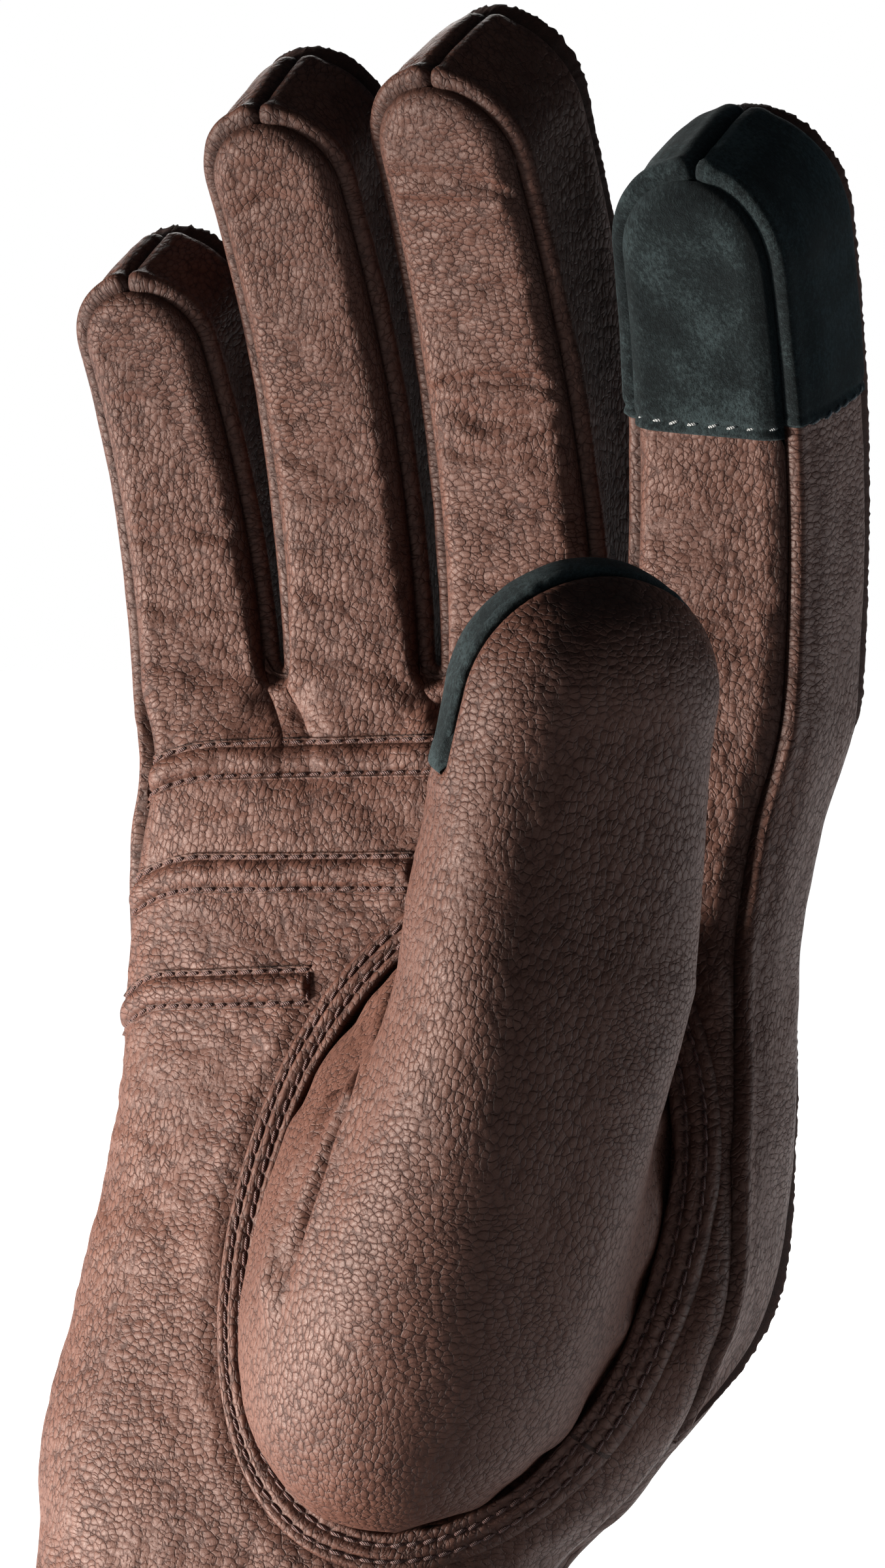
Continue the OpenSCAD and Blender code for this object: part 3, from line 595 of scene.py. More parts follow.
def side_pt(k, s, z, t):
    """The outer side of the hand, from its seam with the palm (t -1) to the back's (t 1)."""
    cx, cy, a, b, n = hand(z)
    q = t * (strip_r(z) if s > 0 else strip_l(z))
    ta = depth_angle(k, s, t, 0.0)
    r = (1 - np.abs(q) ** n) ** (1 / n)
    p = grid3(cx + s * a * r, cy + b * q, z)
    w = D[k].wd(np.maximum(z - WEB, 0))
    on_finger = D[k].dp(s * w[0] * np.cos(ta) ** (2 / NF), z - WEB, w[1] * sp(np.sin(ta), 2 / NF))
    return mix(p, on_finger, smooth(z, WEB - 22, WEB)[..., None])


def strip_grid(k, s, cells=26):
    """Rows from the crotch or the hand's seam up to the middle of the tip, and each row's height."""
    t = np.linspace(-1, 1, cells + 1)[None, :]
    end = D[k].hm + PI * D[k].R / 2
    if (k, s) in OUTER:
        z = np.linspace(OUTER[k, s], WEB, int((WEB - OUTER[k, s]) / 0.8))[:, None]
        low, start = side_pt(k, s, z, t), 0.7
        h = z[:, 0] - WEB
    else:
        turn = np.linspace(PI / 2, 0, 9)[:-1, None]
        low, start = crotch(k if s > 0 else k - 1, t * TS, turn if s > 0 else PI - turn), 3.0
        h = 3 - 4 * turn[:, 0] / (PI / 2)
    p = np.linspace(start, end, int((end - start) / 0.6) + 1)[:, None]
    be = np.clip((p - D[k].hm) / (end - D[k].hm), 0, 1) * PI / 2
    return np.concatenate([low, D[k].strip(s, p, depth_angle(k, s, t, be))]), np.concatenate([h, p[:, 0]])


def seam_lines(side):
    """Points along every seam of the palm (side 1) or of the back (side -1)."""
    out = []
    for k in range(4):
        for s in (-1, 1):
            g = strip_grid(k, s, 2)[0]
            out.append(g[:, 0 if side > 0 else -1])
    for (k, s), top in OUTER.items():
        z = np.linspace(0, top, 160)
        cx, cy, a, b, n = hand(z)
        out.append(np.stack([cx + s * a, cy, z], -1))
    fine = []
    for line in out:
        i = np.linspace(0, len(line) - 1, len(line) * 3)
        fine.append(np.stack([np.interp(i, np.arange(len(line)), line[:, c]) for c in range(3)], -1))
    return np.concatenate(fine)


def tree_of(points):
    tree = KDTree(len(points))
    for i, v in enumerate(points):
        tree.insert(v, i)
    tree.balance()
    return tree


def nearest(lines, P):
    """Distance from each point of P to the nearest point of lines."""
    tree = tree_of(lines)
    flat = P.reshape(-1, 3)
    return np.array([tree.find(v)[2] for v in flat]).reshape(P.shape[:-1])


# ------------------------------------------------------------------ thumb opening
# Middle x and z, half width and half height, and the lean of its long axis.
TX, TZ, TW, THH, RING_LEAN = 38.4, 110.5, 32.0, 46.0, 0.15


def ring_pt(psi, grow, lift):
    """A point round the thumb's opening, on the palm's skin."""
    t = rad(48) - psi
    z = TZ - (THH + grow) * np.cos(t)
    x = TX + RING_LEAN * (z - TZ) + (TW + grow) * np.sin(t)
    cx, cy, a, b, n = hand(z)
    r = np.clip(np.abs(x - cx) / a, 0, 0.98)
    return np.stack([x, cy - b * (1 - r ** n) ** (1 / n) - lift, z], -1)


def ring_grow(x, z):
    """How far outside the opening's edge a point of the palm is."""
    dx, dz = x - TX - RING_LEAN * (z - TZ), z - TZ
    rho = np.maximum(np.hypot(dx / TW, dz / THH), 1e-3)
    return (rho - 1) * np.hypot(dx, dz) / rho


# ------------------------------------------------------------------ relief of the leather
def creases(u, h, rows, seed):
    """Cross folds: each row is height, depth, bow and width."""
    d = 0.0
    for n, (h0, depth, bow, width) in enumerate(rows):
        wob = vn(grid3(u * 1.3, n, 0), 0.8, seed + n)
        q = (h - h0 - bow * u * u - wob) / width
        side = 0.35 + 0.65 * (0.5 + 0.5 * vn(grid3(u * 1.7, 7 * n, 0), 0.9, seed + 40))
        d = d - depth * np.exp(-q * q) * side + 0.55 * depth * np.exp(-((np.abs(q) - 1.9) / 1.1) ** 2) * side
    return d


# Cross folds of each finger, little to index: distance from the root, depth, bow and width.
FOLDS = [[(24, 0.5, 3, 1.5), (30, 0.35, -3, 1.2), (12, 0.4, 4, 1.8), (47, 0.25, 3, 1.3)],
         [(38, 0.55, 4, 1.7), (44, 0.4, -2, 1.3), (31, 0.3, 5, 1.2), (80, 0.35, -5, 1.3), (14, 0.45, 5, 2.0)],
         [(43, 0.75, 4, 1.6), (49, 0.65, -4, 1.2), (37, 0.45, 6, 1.3), (84, 0.6, -6, 1.3), (78, 0.35, 5, 1.1),
          (64, 0.3, 4, 1.2), (15, 0.4, 5, 2.0)],
         [(30, 0.3, 4, 1.8), (12, 0.35, 5, 2.2)]]
BACK_FOLDS = [(36, 0.45, -3, 1.6), (43, 0.4, 3, 1.4), (50, 0.3, -4, 1.3), (4, 0.4, 4, 2.4)]


def crotch_folds(P, e):
    """Small folds that fan out below the finger roots."""
    d, lip = 0.0, np.exp(-((e - 2.1) / 1.2) ** 2)
    for k in range(3):
        c = crotch(k, np.array(-TS), np.array(PI / 2))
        dx, dz = P[..., 0] - c[0], P[..., 2] - c[2]
        r, a = np.hypot(dx, dz), np.arctan2(dx, -dz)
        fold = np.sin(a * (4.2 + k) + k * 1.7 + 0.8 * vn(P, 9.0, 5 + k))
        d = (d + 0.85 * lip * np.exp(-(r / 11) ** 2)
             + 0.75 * fold * np.exp(-r / 13) * smooth(r, 1.5, 7) * smooth(-dz, -4, 2))
    return d


def panel_relief(P, sc, e, side):
    """Height of the leather above the drawn surface, for a hand or finger panel."""
    z = P[..., 2]
    soft = smooth(e, 0.5, 5.0)
    low = smooth(z, 60, 130)
    d = 0.42 * fbm(sc, (17, 13, 20), 3 if side > 0 else 4) * soft * (0.5 + 0.5 * low)
    d = d + (0.10 + 0.12 * low) * fbm(sc, (6.5, 3.4, 20), 11) * soft
    d = d - 0.55 * dip(e, 1.2) + 0.38 * bump(e, 3.3, 1.9)
    tilt = P[..., 0] * 0.8 + z * 0.6
    if side > 0:
        g = ring_grow(P[..., 0], z)
        near = np.exp(-np.maximum(g - 5, 0) / 16) * smooth(g, 5, 9)
        d = d + 0.5 * near * vn(grid3(tilt, (z - P[..., 0]) * 0.35, 0), (5.5, 12, 1), 21) * low
        d = d + 0.5 * bump(g, 8.5, 2.6)
        d = mix(-0.45 - 3.4 * smooth(-g, -1.0, 4), d, smooth(g, 4.4, 5.6))
        d = d + crotch_folds(P, e) * smooth(e, 0.0, 0.8)
    gather = 0.13 if side > 0 else 1.0
    x = sc[..., 0]
    waist = bump(z, WAIST, 9)
    ribs = np.sin(x * 2 * PI / 6.4 + 1.9 * vn(grid3(x, z * 0.6, 0), (9, 9, 1), 31))
    swell = 0.5 * bump(z, WAIST + 12, 5), 0.5 * bump(z, WAIST - 13, 6)
    drawn_in = -0.9 * bump(z, WAIST, 7) + 0.95 * waist * ribs + swell[0] + swell[1]
    return d + gather * drawn_in * smooth(e, 0, 3)


# ------------------------------------------------------------------ hand and finger panels
CELLS, WEB_CELLS = 56, 8
# Shares across a finger panel, closer together near its seams.
UC = RS * np.sin(rad(np.linspace(-86, 86, CELLS + 1))) / math.sin(rad(86))


def column_uh(k, side, v, h0=0.0):
    """Shares across and heights for a finger panel's columns, v from 0 at h0 to 1 at the tip's arch."""
    d = D[k]
    be = np.arccos(np.clip(np.abs(UC) / RS, 0, 1))
    s = np.where(UC > 0, 1, -1)
    top = np.array([edge_share(k, i, side, b) for i, b in zip(s, be)])
    foot = np.array([edge_share(k, i, side, 0.0) for i in s])
    h = mix(h0, d.hm + d.R * top * np.sin(be), v)
    return UC / RS * mix(foot, top, smooth(h, 20, d.hm)), h


def hand_columns(side):
    """Across the hand: finger number, share of its width, and x at the finger roots."""
    cols = []
    for k in range(4):
        uu = column_uh(k, side, 0.0)[0]
        cols += [(k, u, D[k].dp(u * D[k].a0, 0, 0)[0]) for u in uu]
        if k < 3:
            a, b = cols[-1][2], D[k + 1].dp(-RS * D[k + 1].a0, 0, 0)[0]
            cols += [(-1 - k, i / WEB_CELLS, mix(a, b, i / WEB_CELLS)) for i in range(1, WEB_CELLS)]
    return cols


def hand_base(z, side):
    """The hand up to the finger roots, its columns meeting those of the fingers."""
    kk, uu, xt = (np.array(c) for c in zip(*hand_columns(side)))
    t = phi_x(np.array(WEB), xt)
    share = (t - t[0]) / (t[-1] - t[0])
    z = z[:, None]
    P = hp(z, mix(-phi_e(z, strip_l(z)), phi_e(z, strip_r(z)), share[None, :]), side)
    for k in range(4):
        m = kk == k
        w = smooth(z, WEB - 22, WEB)[..., None]
        P[:, m] = mix(P[:, m], D[k].skin(uu[m][None], z - WEB, side), w)
    for k in range(3):
        m = np.where(kk == -1 - k)[0]
        P[:, m] = mix(P[:, [m[0] - 1]], P[:, [m[-1] + 1]], uu[m][None, :, None])
    return P, kk


class Panels:
    """Palm or back with its four finger panels, worked out together so that they meet."""

    def __init__(s, side):
        s.side = side
        lines = seam_lines(side)
        z = np.linspace(0, WEB, 262)
        base, kk = hand_base(z, side)
        mid = base.shape[1] // 2
        run = arc(base, 1)
        run = run - run[:, [mid]] + base[:, [mid], 0]
        s.z, s.kk = z, kk
        sc = grid3(run, z[:, None], 10.0 * side)
        e = nearest(lines, base)
        s.sign = 1 if side > 0 else -1
        n = grid_normals(base) * s.sign
        palm = base + n * panel_relief(base, sc, e, side)[..., None]
        s.fingers, s.P, s.sc, s.e = [], palm, sc, e
        s.N = grid_normals(palm) * s.sign
        for k in range(4):
            d = D[k]
            cols = np.where(kk == k)[0]
            v = np.linspace(0, 1, int(d.L / 0.5))[:, None]
            uu, h = column_uh(k, side, v)
            b = d.skin(uu, h, side)
            c = arc(b, 1)
            c = c - c[:, [CELLS // 2]] + sc[-1, cols[CELLS // 2], 0]
            fs = grid3(c, WEB + h, 10.0 * side)
            fe = nearest(lines, b)
            below = 6
            whole = np.concatenate([base[-1 - below:-1, cols], b])
            nn = grid_normals(whole)[below:] * s.sign
            rows = FOLDS[k] if side > 0 else BACK_FOLDS
            drop = creases(uu, h, rows, 60 + 10 * k + (0 if side > 0 else 5)) * smooth(fe, 0.8, 4)
            q = b + nn * (panel_relief(b, fs, fe, side) + drop * smooth(h, 0, 8))[..., None]
            q[0] = palm[-1, cols]
            full = np.concatenate([palm[-1 - below:-1, cols], q])
            fn = grid_normals(full)[below:] * s.sign
            s.N[-1, cols] = fn[0]
            s.fingers.append((q, fs, fe, fn, h))

    def dark(s, e, amount=0.75):
        """Painted shade, with some dirt, near a seam."""
        return amount * np.exp(-(e / 1.3) ** 1.5)

    def hand_piece(s, name, nodes):
        """The hand's panel, with the three tongues that fill the crotches between the fingers."""
        b = Build()
        flip = s.sign < 0
        b.grid(s.P, s.sc, s.dark(s.e), flip=flip, normals=s.N)
        for k in range(3):
            cols = np.where(s.kk == -1 - k)[0]
            cols = np.concatenate([[cols[0] - 1], cols, [cols[-1] + 1]])
            low = s.P[-1, cols]
            be = np.linspace(0, PI, WEB_CELLS + 1)
            top = crotch(k, np.full(WEB_CELLS + 1, -TS * s.side), be)
            v = np.linspace(0, 1, 6)[:, None, None]
            g = mix(low[None], top[None], v)
            nn = grid_normals(g) * s.sign
            e = (1 - v[..., 0]) * np.linalg.norm(top - low, axis=-1)[None]
            g = g - nn * (0.55 * dip(e, 1.2) * smooth(v[..., 0], 0, 0.4))[..., None]
            nn = grid_normals(g) * s.sign
            nn[0] = s.N[-1, cols]
            sc = s.sc[-1, cols][None] + v * np.array([0, 3.0, 0])
            b.grid(g, sc, s.dark(e), flip=flip, normals=nn)
        b.make(name, LEATHER, nodes, "leather")

    def finger_piece(s, k, name, nodes):
        q, fs, fe, fn = s.fingers[k][:4]
        if k == 3 and s.side > 0:
            return s.index_front(name)
        b = Build().grid(q, fs, s.dark(fe), flip=s.sign < 0, normals=fn)
        b.make(name, LEATHER, nodes, "leather", bend_of(k))

    def index_front(s, name):
        """Leather below the patch; the suede patch is a second layer that starts above it."""
        q, fs, fe, fn, h = s.fingers[3]
        last = int(np.searchsorted(h[:, CELLS // 2], PATCH0 + 7))
        a = Build().grid(q[:last], fs[:last], s.dark(fe[:last]), flip=s.sign < 0, normals=fn[:last])
        a.make(name, LEATHER, ("index_front",), "leather", bend_of(3))
        uu, h = column_uh(3, 1, np.linspace(0, 1, 130)[:, None], PATCH0 + 1.0)
        b = D[3].skin(uu, h, 1)
        nn = grid_normals(b)
        e = nearest(seam_lines(1), b)
        edge = h - h[0]
        lift = 0.75 * rise_of(edge, 0.35) - 0.55 * dip(e, 1.2)
        lift = lift + 0.45 * bump(e, 3.2, 1.8)
        lift = lift - 0.35 * bump(edge, 1.9, 0.55)
        sc = grid3(arc(b, 1), WEB + h, 70.0)
        lift = lift + 0.3 * fbm(sc, (12, 10, 9), 8) * smooth(e, 1, 5) * smooth(edge, 2, 6)
        b = b + nn * lift[..., None]
        skirt = b[[0]] - nn[[0]] * 0.9
        b, sc = np.concatenate([skirt, b]), np.concatenate([sc[[0]], sc])
        # painted shade on the tucked skirt row under the patch's edge; painted shade with dirt near the seams
        dk = np.concatenate([np.full((1, b.shape[1]), 0.6), s.dark(e, 0.5)])
        Build().grid(b, sc, dk, normals=grid_normals(b)).make(
            "index_patch_front", SUEDE, ("index_patch_front",), "suede", bend_of(3))


# ------------------------------------------------------------------ side strips
SIDES = {(0, -1): "outer", (0, 1): "inner", (1, -1): "outer", (1, 1): "inner",
         (2, 1): "outer", (2, -1): "inner", (3, 1): "outer", (3, -1): "inner"}
FOUR = ["fourchette_ring_little", "fourchette_middle_ring", "fourchette_index_middle"]


def strip_relief(P, h, k, s):
    """Height above the drawn surface of a side strip, its texture places, and its painted shade with some
    dirt at the seams and low in the crotch.
    """
    A = arc(P, 1)
    ef, eb = A, A[:, [-1]] - A
    end = h[-1]
    q = (end - h)[:, None]
    t = A / A[:, [-1]]
    inner = (k, s) not in OUTER
    hollow = (1.5 if inner else 0.45) * smooth(q, 8, 30) * np.sin(PI * t) ** 2
    d = -hollow - 0.95 * dip(ef, 1.1) + 1.15 * bump(ef, 2.0, 1.2)
    d = d - 0.8 * dip(eb, 1.1) + 0.3 * bump(eb, 2.4, 1.4)
    d = d - 1.15 * dip(q, 1.4) + 0.4 * bump(q, 2.6, 1.5)
    sc = grid3(A + 37 * k + 400, h[:, None] + 60 * s, 31.0)
    d = d + 0.22 * fbm(sc, (8, 13, 9), 71 + k) * smooth(np.minimum(ef, eb), 0.5, 3)
    # painted shade with some dirt towards the seams
    dk = 0.75 * np.exp(-(np.minimum(np.minimum(ef, eb), np.broadcast_to(q, ef.shape)) / 1.2) ** 1.5)
    if inner:
        # painted shade low in the crotch between the fingers
        dk = np.maximum(dk, 0.45 * smooth(-h, -6, 2)[:, None] * np.ones_like(dk))
    return d, sc, dk


def strip_sign(k, P, h):
    """1 if the grid's normals point out of the finger, else -1."""
    j = len(h) * 2 // 3
    n = grid_normals(P)[j, P.shape[1] // 2]
    out = P[j, P.shape[1] // 2] - D[k].axis_pt(min(h[j], D[k].hm))
    return 1 if n @ out > 0 else -1


def make_strip(k, s):
    """A side strip; on the index finger its upper part is suede."""
    P, h = strip_grid(k, s)
    sign = strip_sign(k, P, h)
    name = NAMES[k] + "_strip_" + SIDES[k, s]
    if (k, s) in OUTER:
        hand_node = "strip_index" if k == 3 else "strip_little"
    else:
        hand_node = FOUR[k if s > 0 else k - 1]
    d, sc, dk = strip_relief(P, h, k, s)
    Q = P + grid_normals(P) * sign * d[..., None]
    N = grid_normals(Q) * sign
    if k == 3:
        last = int(np.searchsorted(h, PATCH0 + 8))
        Build().grid(Q[:last], sc[:last], dk[:last], flip=sign < 0, normals=N[:last]).make(
            name, LEATHER, (name, hand_node), "side_leather", bend_of(k))
        first = int(np.searchsorted(h, PATCH0 + (1.6 if s < 0 else 2.6)))
        edge = (h[first:] - h[first])[:, None]
        cap = 0.7 * rise_of(edge, 0.35) - 0.35 * bump(edge, 1.9, 0.55)
        cap = np.broadcast_to(cap, d[first:].shape)
        G = P[first:] + grid_normals(P)[first:] * sign * (d[first:] + cap)[..., None]
        skirt = G[[0]] - N[[first]] * 0.9
        G = np.concatenate([skirt, G])
        sc = np.concatenate([sc[[first]], sc[first:]])
        # painted shade on the tucked skirt row, and lighter painted shade with dirt near the seams
        dk = np.concatenate([np.full((1, dk.shape[1]), 0.5), dk[first:] * 0.7])
        Build().grid(G, sc, dk, flip=sign < 0, normals=grid_normals(G) * sign).make(
            "index_patch_" + SIDES[k, s], SUEDE, ("index_patch_" + SIDES[k, s],), "suede", bend_of(k))
        return
    Build().grid(Q, sc, dk, flip=sign < 0, normals=N).make(
        name, LEATHER, (name, hand_node), "side_leather", bend_of(k))


# ------------------------------------------------------------------ swept pieces
def unit(v):
    return v / np.maximum(np.linalg.norm(v, axis=-1, keepdims=True), 1e-9)


def resample(P, step):
    """The same line with evenly spaced points."""
    d = np.concatenate([[0], np.cumsum(np.linalg.norm(np.diff(P, axis=0), axis=1))])
    t = np.linspace(0, d[-1], max(int(d[-1] / step), 2) + 1)
    return np.stack([np.interp(t, d, P[:, c]) for c in range(P.shape[1])], -1)


def make_fin(k, s):
    """The raw cut edge that stands up along the seam between a side strip and the back."""
    P, h = strip_grid(k, s)
    sign = strip_sign(k, P, h)
    n = grid_normals(P)[:, -1] * sign
    edge = P[:, -1]
    data = resample(np.concatenate([edge, n, h[:, None]], 1), 0.55)
    edge, n, h = data[:, :3], unit(data[:, 3:6]), data[:, 6]
    tan = unit(np.gradient(edge, axis=0))
    across = unit(np.cross(tan, n)) * (1 if s > 0 else -1)
    back = D[k].F * -1.0
    across = across * np.sign(np.sum(across * back, -1, keepdims=True))
    out = unit(n * 0.75 + across * 0.65)
    side = unit(np.cross(tan, out))
    arc_tip = smooth(h, D[k].hm - 6, D[k].hm + 14)
    outer = (k, s) in OUTER
    size = mix(2.0 if outer else 0.8, 2.5, arc_tip)
    if outer:
        size = size * smooth(h, h[0], h[0] + 22)
    size = size * (1 + 0.13 * vn(grid3(h * 3, k, 0), 1.6, 90 + k))
    size = np.maximum(size, 0.05)
    thick = 0.85 + 0.12 * vn(grid3(h * 3, 0, k), 2.0, 93)
    prof = [(-1.2, -0.9), (0.3, -0.95), (0.72, -0.85), (0.97, -0.72), (1.0, -0.3), (0.86, 0.0), (1.0, 0.3),
            (0.97, 0.72), (0.72, 0.85), (0.3, 0.95), (-1.2, 0.9)]
    rows = []
    for o, w in prof:
        ragged = 0.12 * vn(edge * 2.1 + 9 * w, 1.0, 97) if o > 0.8 else 0.0
        reach = np.where(o > 0, o * size, o) + ragged
        rows.append(edge + out * reach[:, None] + side * (w * thick)[:, None])
    G = np.stack(rows, 1)
    # painted shade where the raw edge meets its seam and in the split along its crest
    dk = np.broadcast_to(np.array([0.9, 0.5, 0.1, 0.2, 0.5, 0.9, 0.5, 0.2, 0.1, 0.5, 0.9]), G.shape[:2])
    outward = np.mean(np.sum(grid_normals(G)[:, 4] * out, -1)) > 0
    Build().grid(G, G, dk, flip=not outward).make(
        NAMES[k] + "_raw_edge_" + SIDES[k, s], RAW, (), "side_leather", bend_of(k))


def capsules(paths, r, sides=6):
    """One small closed tube per path; paths is (count, points, 3)."""
    T = unit(np.gradient(paths, axis=1))
    up = unit(np.cross(T, np.array([0.31, 0.52, 0.79])))
    side = np.cross(T, up)
    n, m = paths.shape[:2]
    taper = np.sqrt(np.clip(1 - np.linspace(-0.96, 0.96, m) ** 6, 0.02, 1))
    a = np.linspace(0, 2 * PI, sides, endpoint=False)
    a = a[None, None, :, None]
    ring = np.cos(a) * up[:, :, None] + np.sin(a) * side[:, :, None]
    V = paths[:, :, None] + ring * (r * taper)[None, :, None, None]
    q = quads(m - 1, sides, True)
    F = (q[None] + (np.arange(n) * m * sides)[:, None, None]).reshape(-1, 4)
    ends = []
    for e in range(2):
        base = e * (m - 1) * sides
        loop = [base + c for c in range(sides)]
        quad = [[loop[0], loop[1], loop[2], loop[3]], [loop[0], loop[3], loop[4], loop[5]]]
        ends += [q[::-1] if e == 0 else q for q in quad]
    E = (np.array(ends)[None] + (np.arange(n) * m * sides)[:, None, None]).reshape(-1, 4)
    return V.reshape(-1, 3), np.concatenate([F, E])


def stitches(line, normal, pitch, length, r, tilt, seed):
    """Sewn stitches along a line: each one rises out of the leather and dips back into it."""
    both = resample(np.concatenate([line, normal], 1), 0.2)
    d = np.concatenate([[0], np.cumsum(np.linalg.norm(np.diff(both[:, :3], axis=0), axis=1))])
    count = int(d[-1] / pitch)
    rng = np.random.default_rng(seed)
    t0 = (np.arange(count) + 0.5) * d[-1] / count + rng.uniform(-0.06, 0.06, count) * pitch
    m = np.linspace(-0.5, 0.5, 7)
    t = t0[:, None] + m[None] * length
    p = np.stack([np.interp(t, d, both[:, c]) for c in range(3)], -1)
    n = unit(np.stack([np.interp(t, d, both[:, c + 3]) for c in range(3)], -1))
    tan = unit(np.gradient(p, axis=1))
    b = np.cross(n, tan)
    lean = tilt * (1 + rng.uniform(-0.5, 0.5, count))[:, None, None]
    h = (r * 0.75 - 0.35 * (np.abs(m) * 2) ** 4)[None, :, None]
    return capsules(p + n * h + b * m[None, :, None] * lean * length, r)


def make_stitches(name, lines, mat, nodes, slot, pitch, length, r=0.3, tilt=0.12, blend=None):
    """One piece with the stitches of several lines."""
    b = Build()
    for i, (line, normal) in enumerate(lines):
        V, F = stitches(line, normal, pitch, length, r, tilt, 100 + i)
        b.raw(V, F)
    b.make(name, mat, nodes, slot, blend)


# ------------------------------------------------------------------ thumb
def thumb_base(psi, v):
    """From the opening in the palm (v 0) to the foot of the thumb (v 1)."""
    t = rad(48) - psi
    a = ring_pt(psi, -1.5, -0.4)
    low = (1 + np.cos(t)) / 2
    b = TH.dp(TH.a0 * sp(np.sin(psi), 2 / TH.n), -0.2, TH.b0 * sp(np.cos(psi), 2 / TH.n))
    ta = np.stack([mix(-4, 6, low) * np.sin(t) * 3, -mix(26, 88, low), mix(4, -16, low)], -1)
    tb = TH.U * mix(22, 84, low)[..., None]
    s = v[..., None]
    s2, s3 = s * s, s * s * s
    return (2 * s3 - 3 * s2 + 1) * a + (s3 - 2 * s2 + s) * ta + (3 * s2 - 2 * s3) * b + (s3 - s2) * tb


def thumb_grain(sc, soft):
    """Soft unevenness of the thumb's leather."""
    return 0.36 * fbm(sc, (19, 24, 20), 41) * soft + 0.10 * fbm(sc, (6, 4.5, 9), 43) * soft


def rim_lip(e):
    """The dip at the tip's rim and the swelling beside it."""
    return -0.5 * dip(e, 1.3) + 0.55 * bump(e, 2.4, 1.5)


def thumb_relief(sc, psi, run, e):
    """run is how far up from the opening a point is, e how far from the tip's rim."""
    soft = smooth(run, 2, 9) * smooth(e, 0.5, 5)
    d = thumb_grain(sc, soft)
    t = np.mod(rad(48) - psi + PI, 2 * PI) - PI
    radial = np.sin(t * 17 + 1.7 * vn(grid3(t * 6, run * 0.1, 0), 1.0, 45))
    d = d + 0.42 * radial * bump(run, 6, 5) * smooth(run, 1, 5)
    return d


# Lines of the thumb's leather as (x, y, z) in millimetres, in the part's frame.
ROLL_VALLEY = [(30, -14, 144), (33, -30, 137), (36, -40, 132), (32, -41, 126), (30, -42, 119), (27, -42, 112),
               (24, -41, 101)]
ROLL = [(29, -28, 131), (26, -34, 123), (22.5, -35, 116), (21, -37, 108), (21.5, -39, 102), (23, -41, 96)]
NICKS = [[(24, -40, 108), (21.5, -39.5, 100)], [(26, -42, 103), (23, -41, 97.5)]]
PINCH = (49, -42, 181)


def on_skin(line, P):
    """A line of given points, moved onto the nearest points of a surface and smoothed."""
    tree = tree_of(P.reshape(-1, 3))
    got = np.array([tree.find(v)[0] for v in resample(np.array(line, float), 0.5)])
    return np.stack([np.convolve(np.pad(c, 4, "edge"), np.ones(9) / 9, "valid") for c in got.T], 1)


def near_line(P, line):
    """Distance of each point from a line, and how far along it the nearest place is."""
    tree = tree_of(line)
    hits = [tree.find(v) for v in P.reshape(-1, 3)]
    dist = np.array([h[2] for h in hits]).reshape(P.shape[:-1])
    return dist, np.array([h[1] for h in hits]).reshape(P.shape[:-1]) / (len(line) - 1)


def thumb_folds(P):
    """The loose roll of leather beside the thumb's foot, and the pinch at the end of the suede."""
    dv, tv = near_line(P, on_skin(ROLL_VALLEY, P))
    dr, tr = near_line(P, on_skin(ROLL, P))
    d = 1.9 * np.exp(-(dr / 3.0) ** 2) * smooth(tr, 0.0, 0.1) * smooth(-tr, -1.0, -0.8)
    d = d - 2.3 * np.exp(-(dv / 1.25) ** 2) * smooth(tv, 0.0, 0.12) * smooth(-tv, -1.0, -0.75)
    d = d + 0.7 * np.exp(-((dv - 3.2) / 2.0) ** 2) * smooth(-tv, -1.0, -0.75)
    for line in NICKS:
        d = d - 0.4 * np.exp(-(near_line(P, on_skin(line, P))[0] / 0.7) ** 2)
    r = np.linalg.norm(P - np.array(PINCH), axis=-1)
    return d - 1.0 * np.exp(-(r / 2.4) ** 2) + 0.35 * np.exp(-((r - 4.5) / 1.6) ** 2)


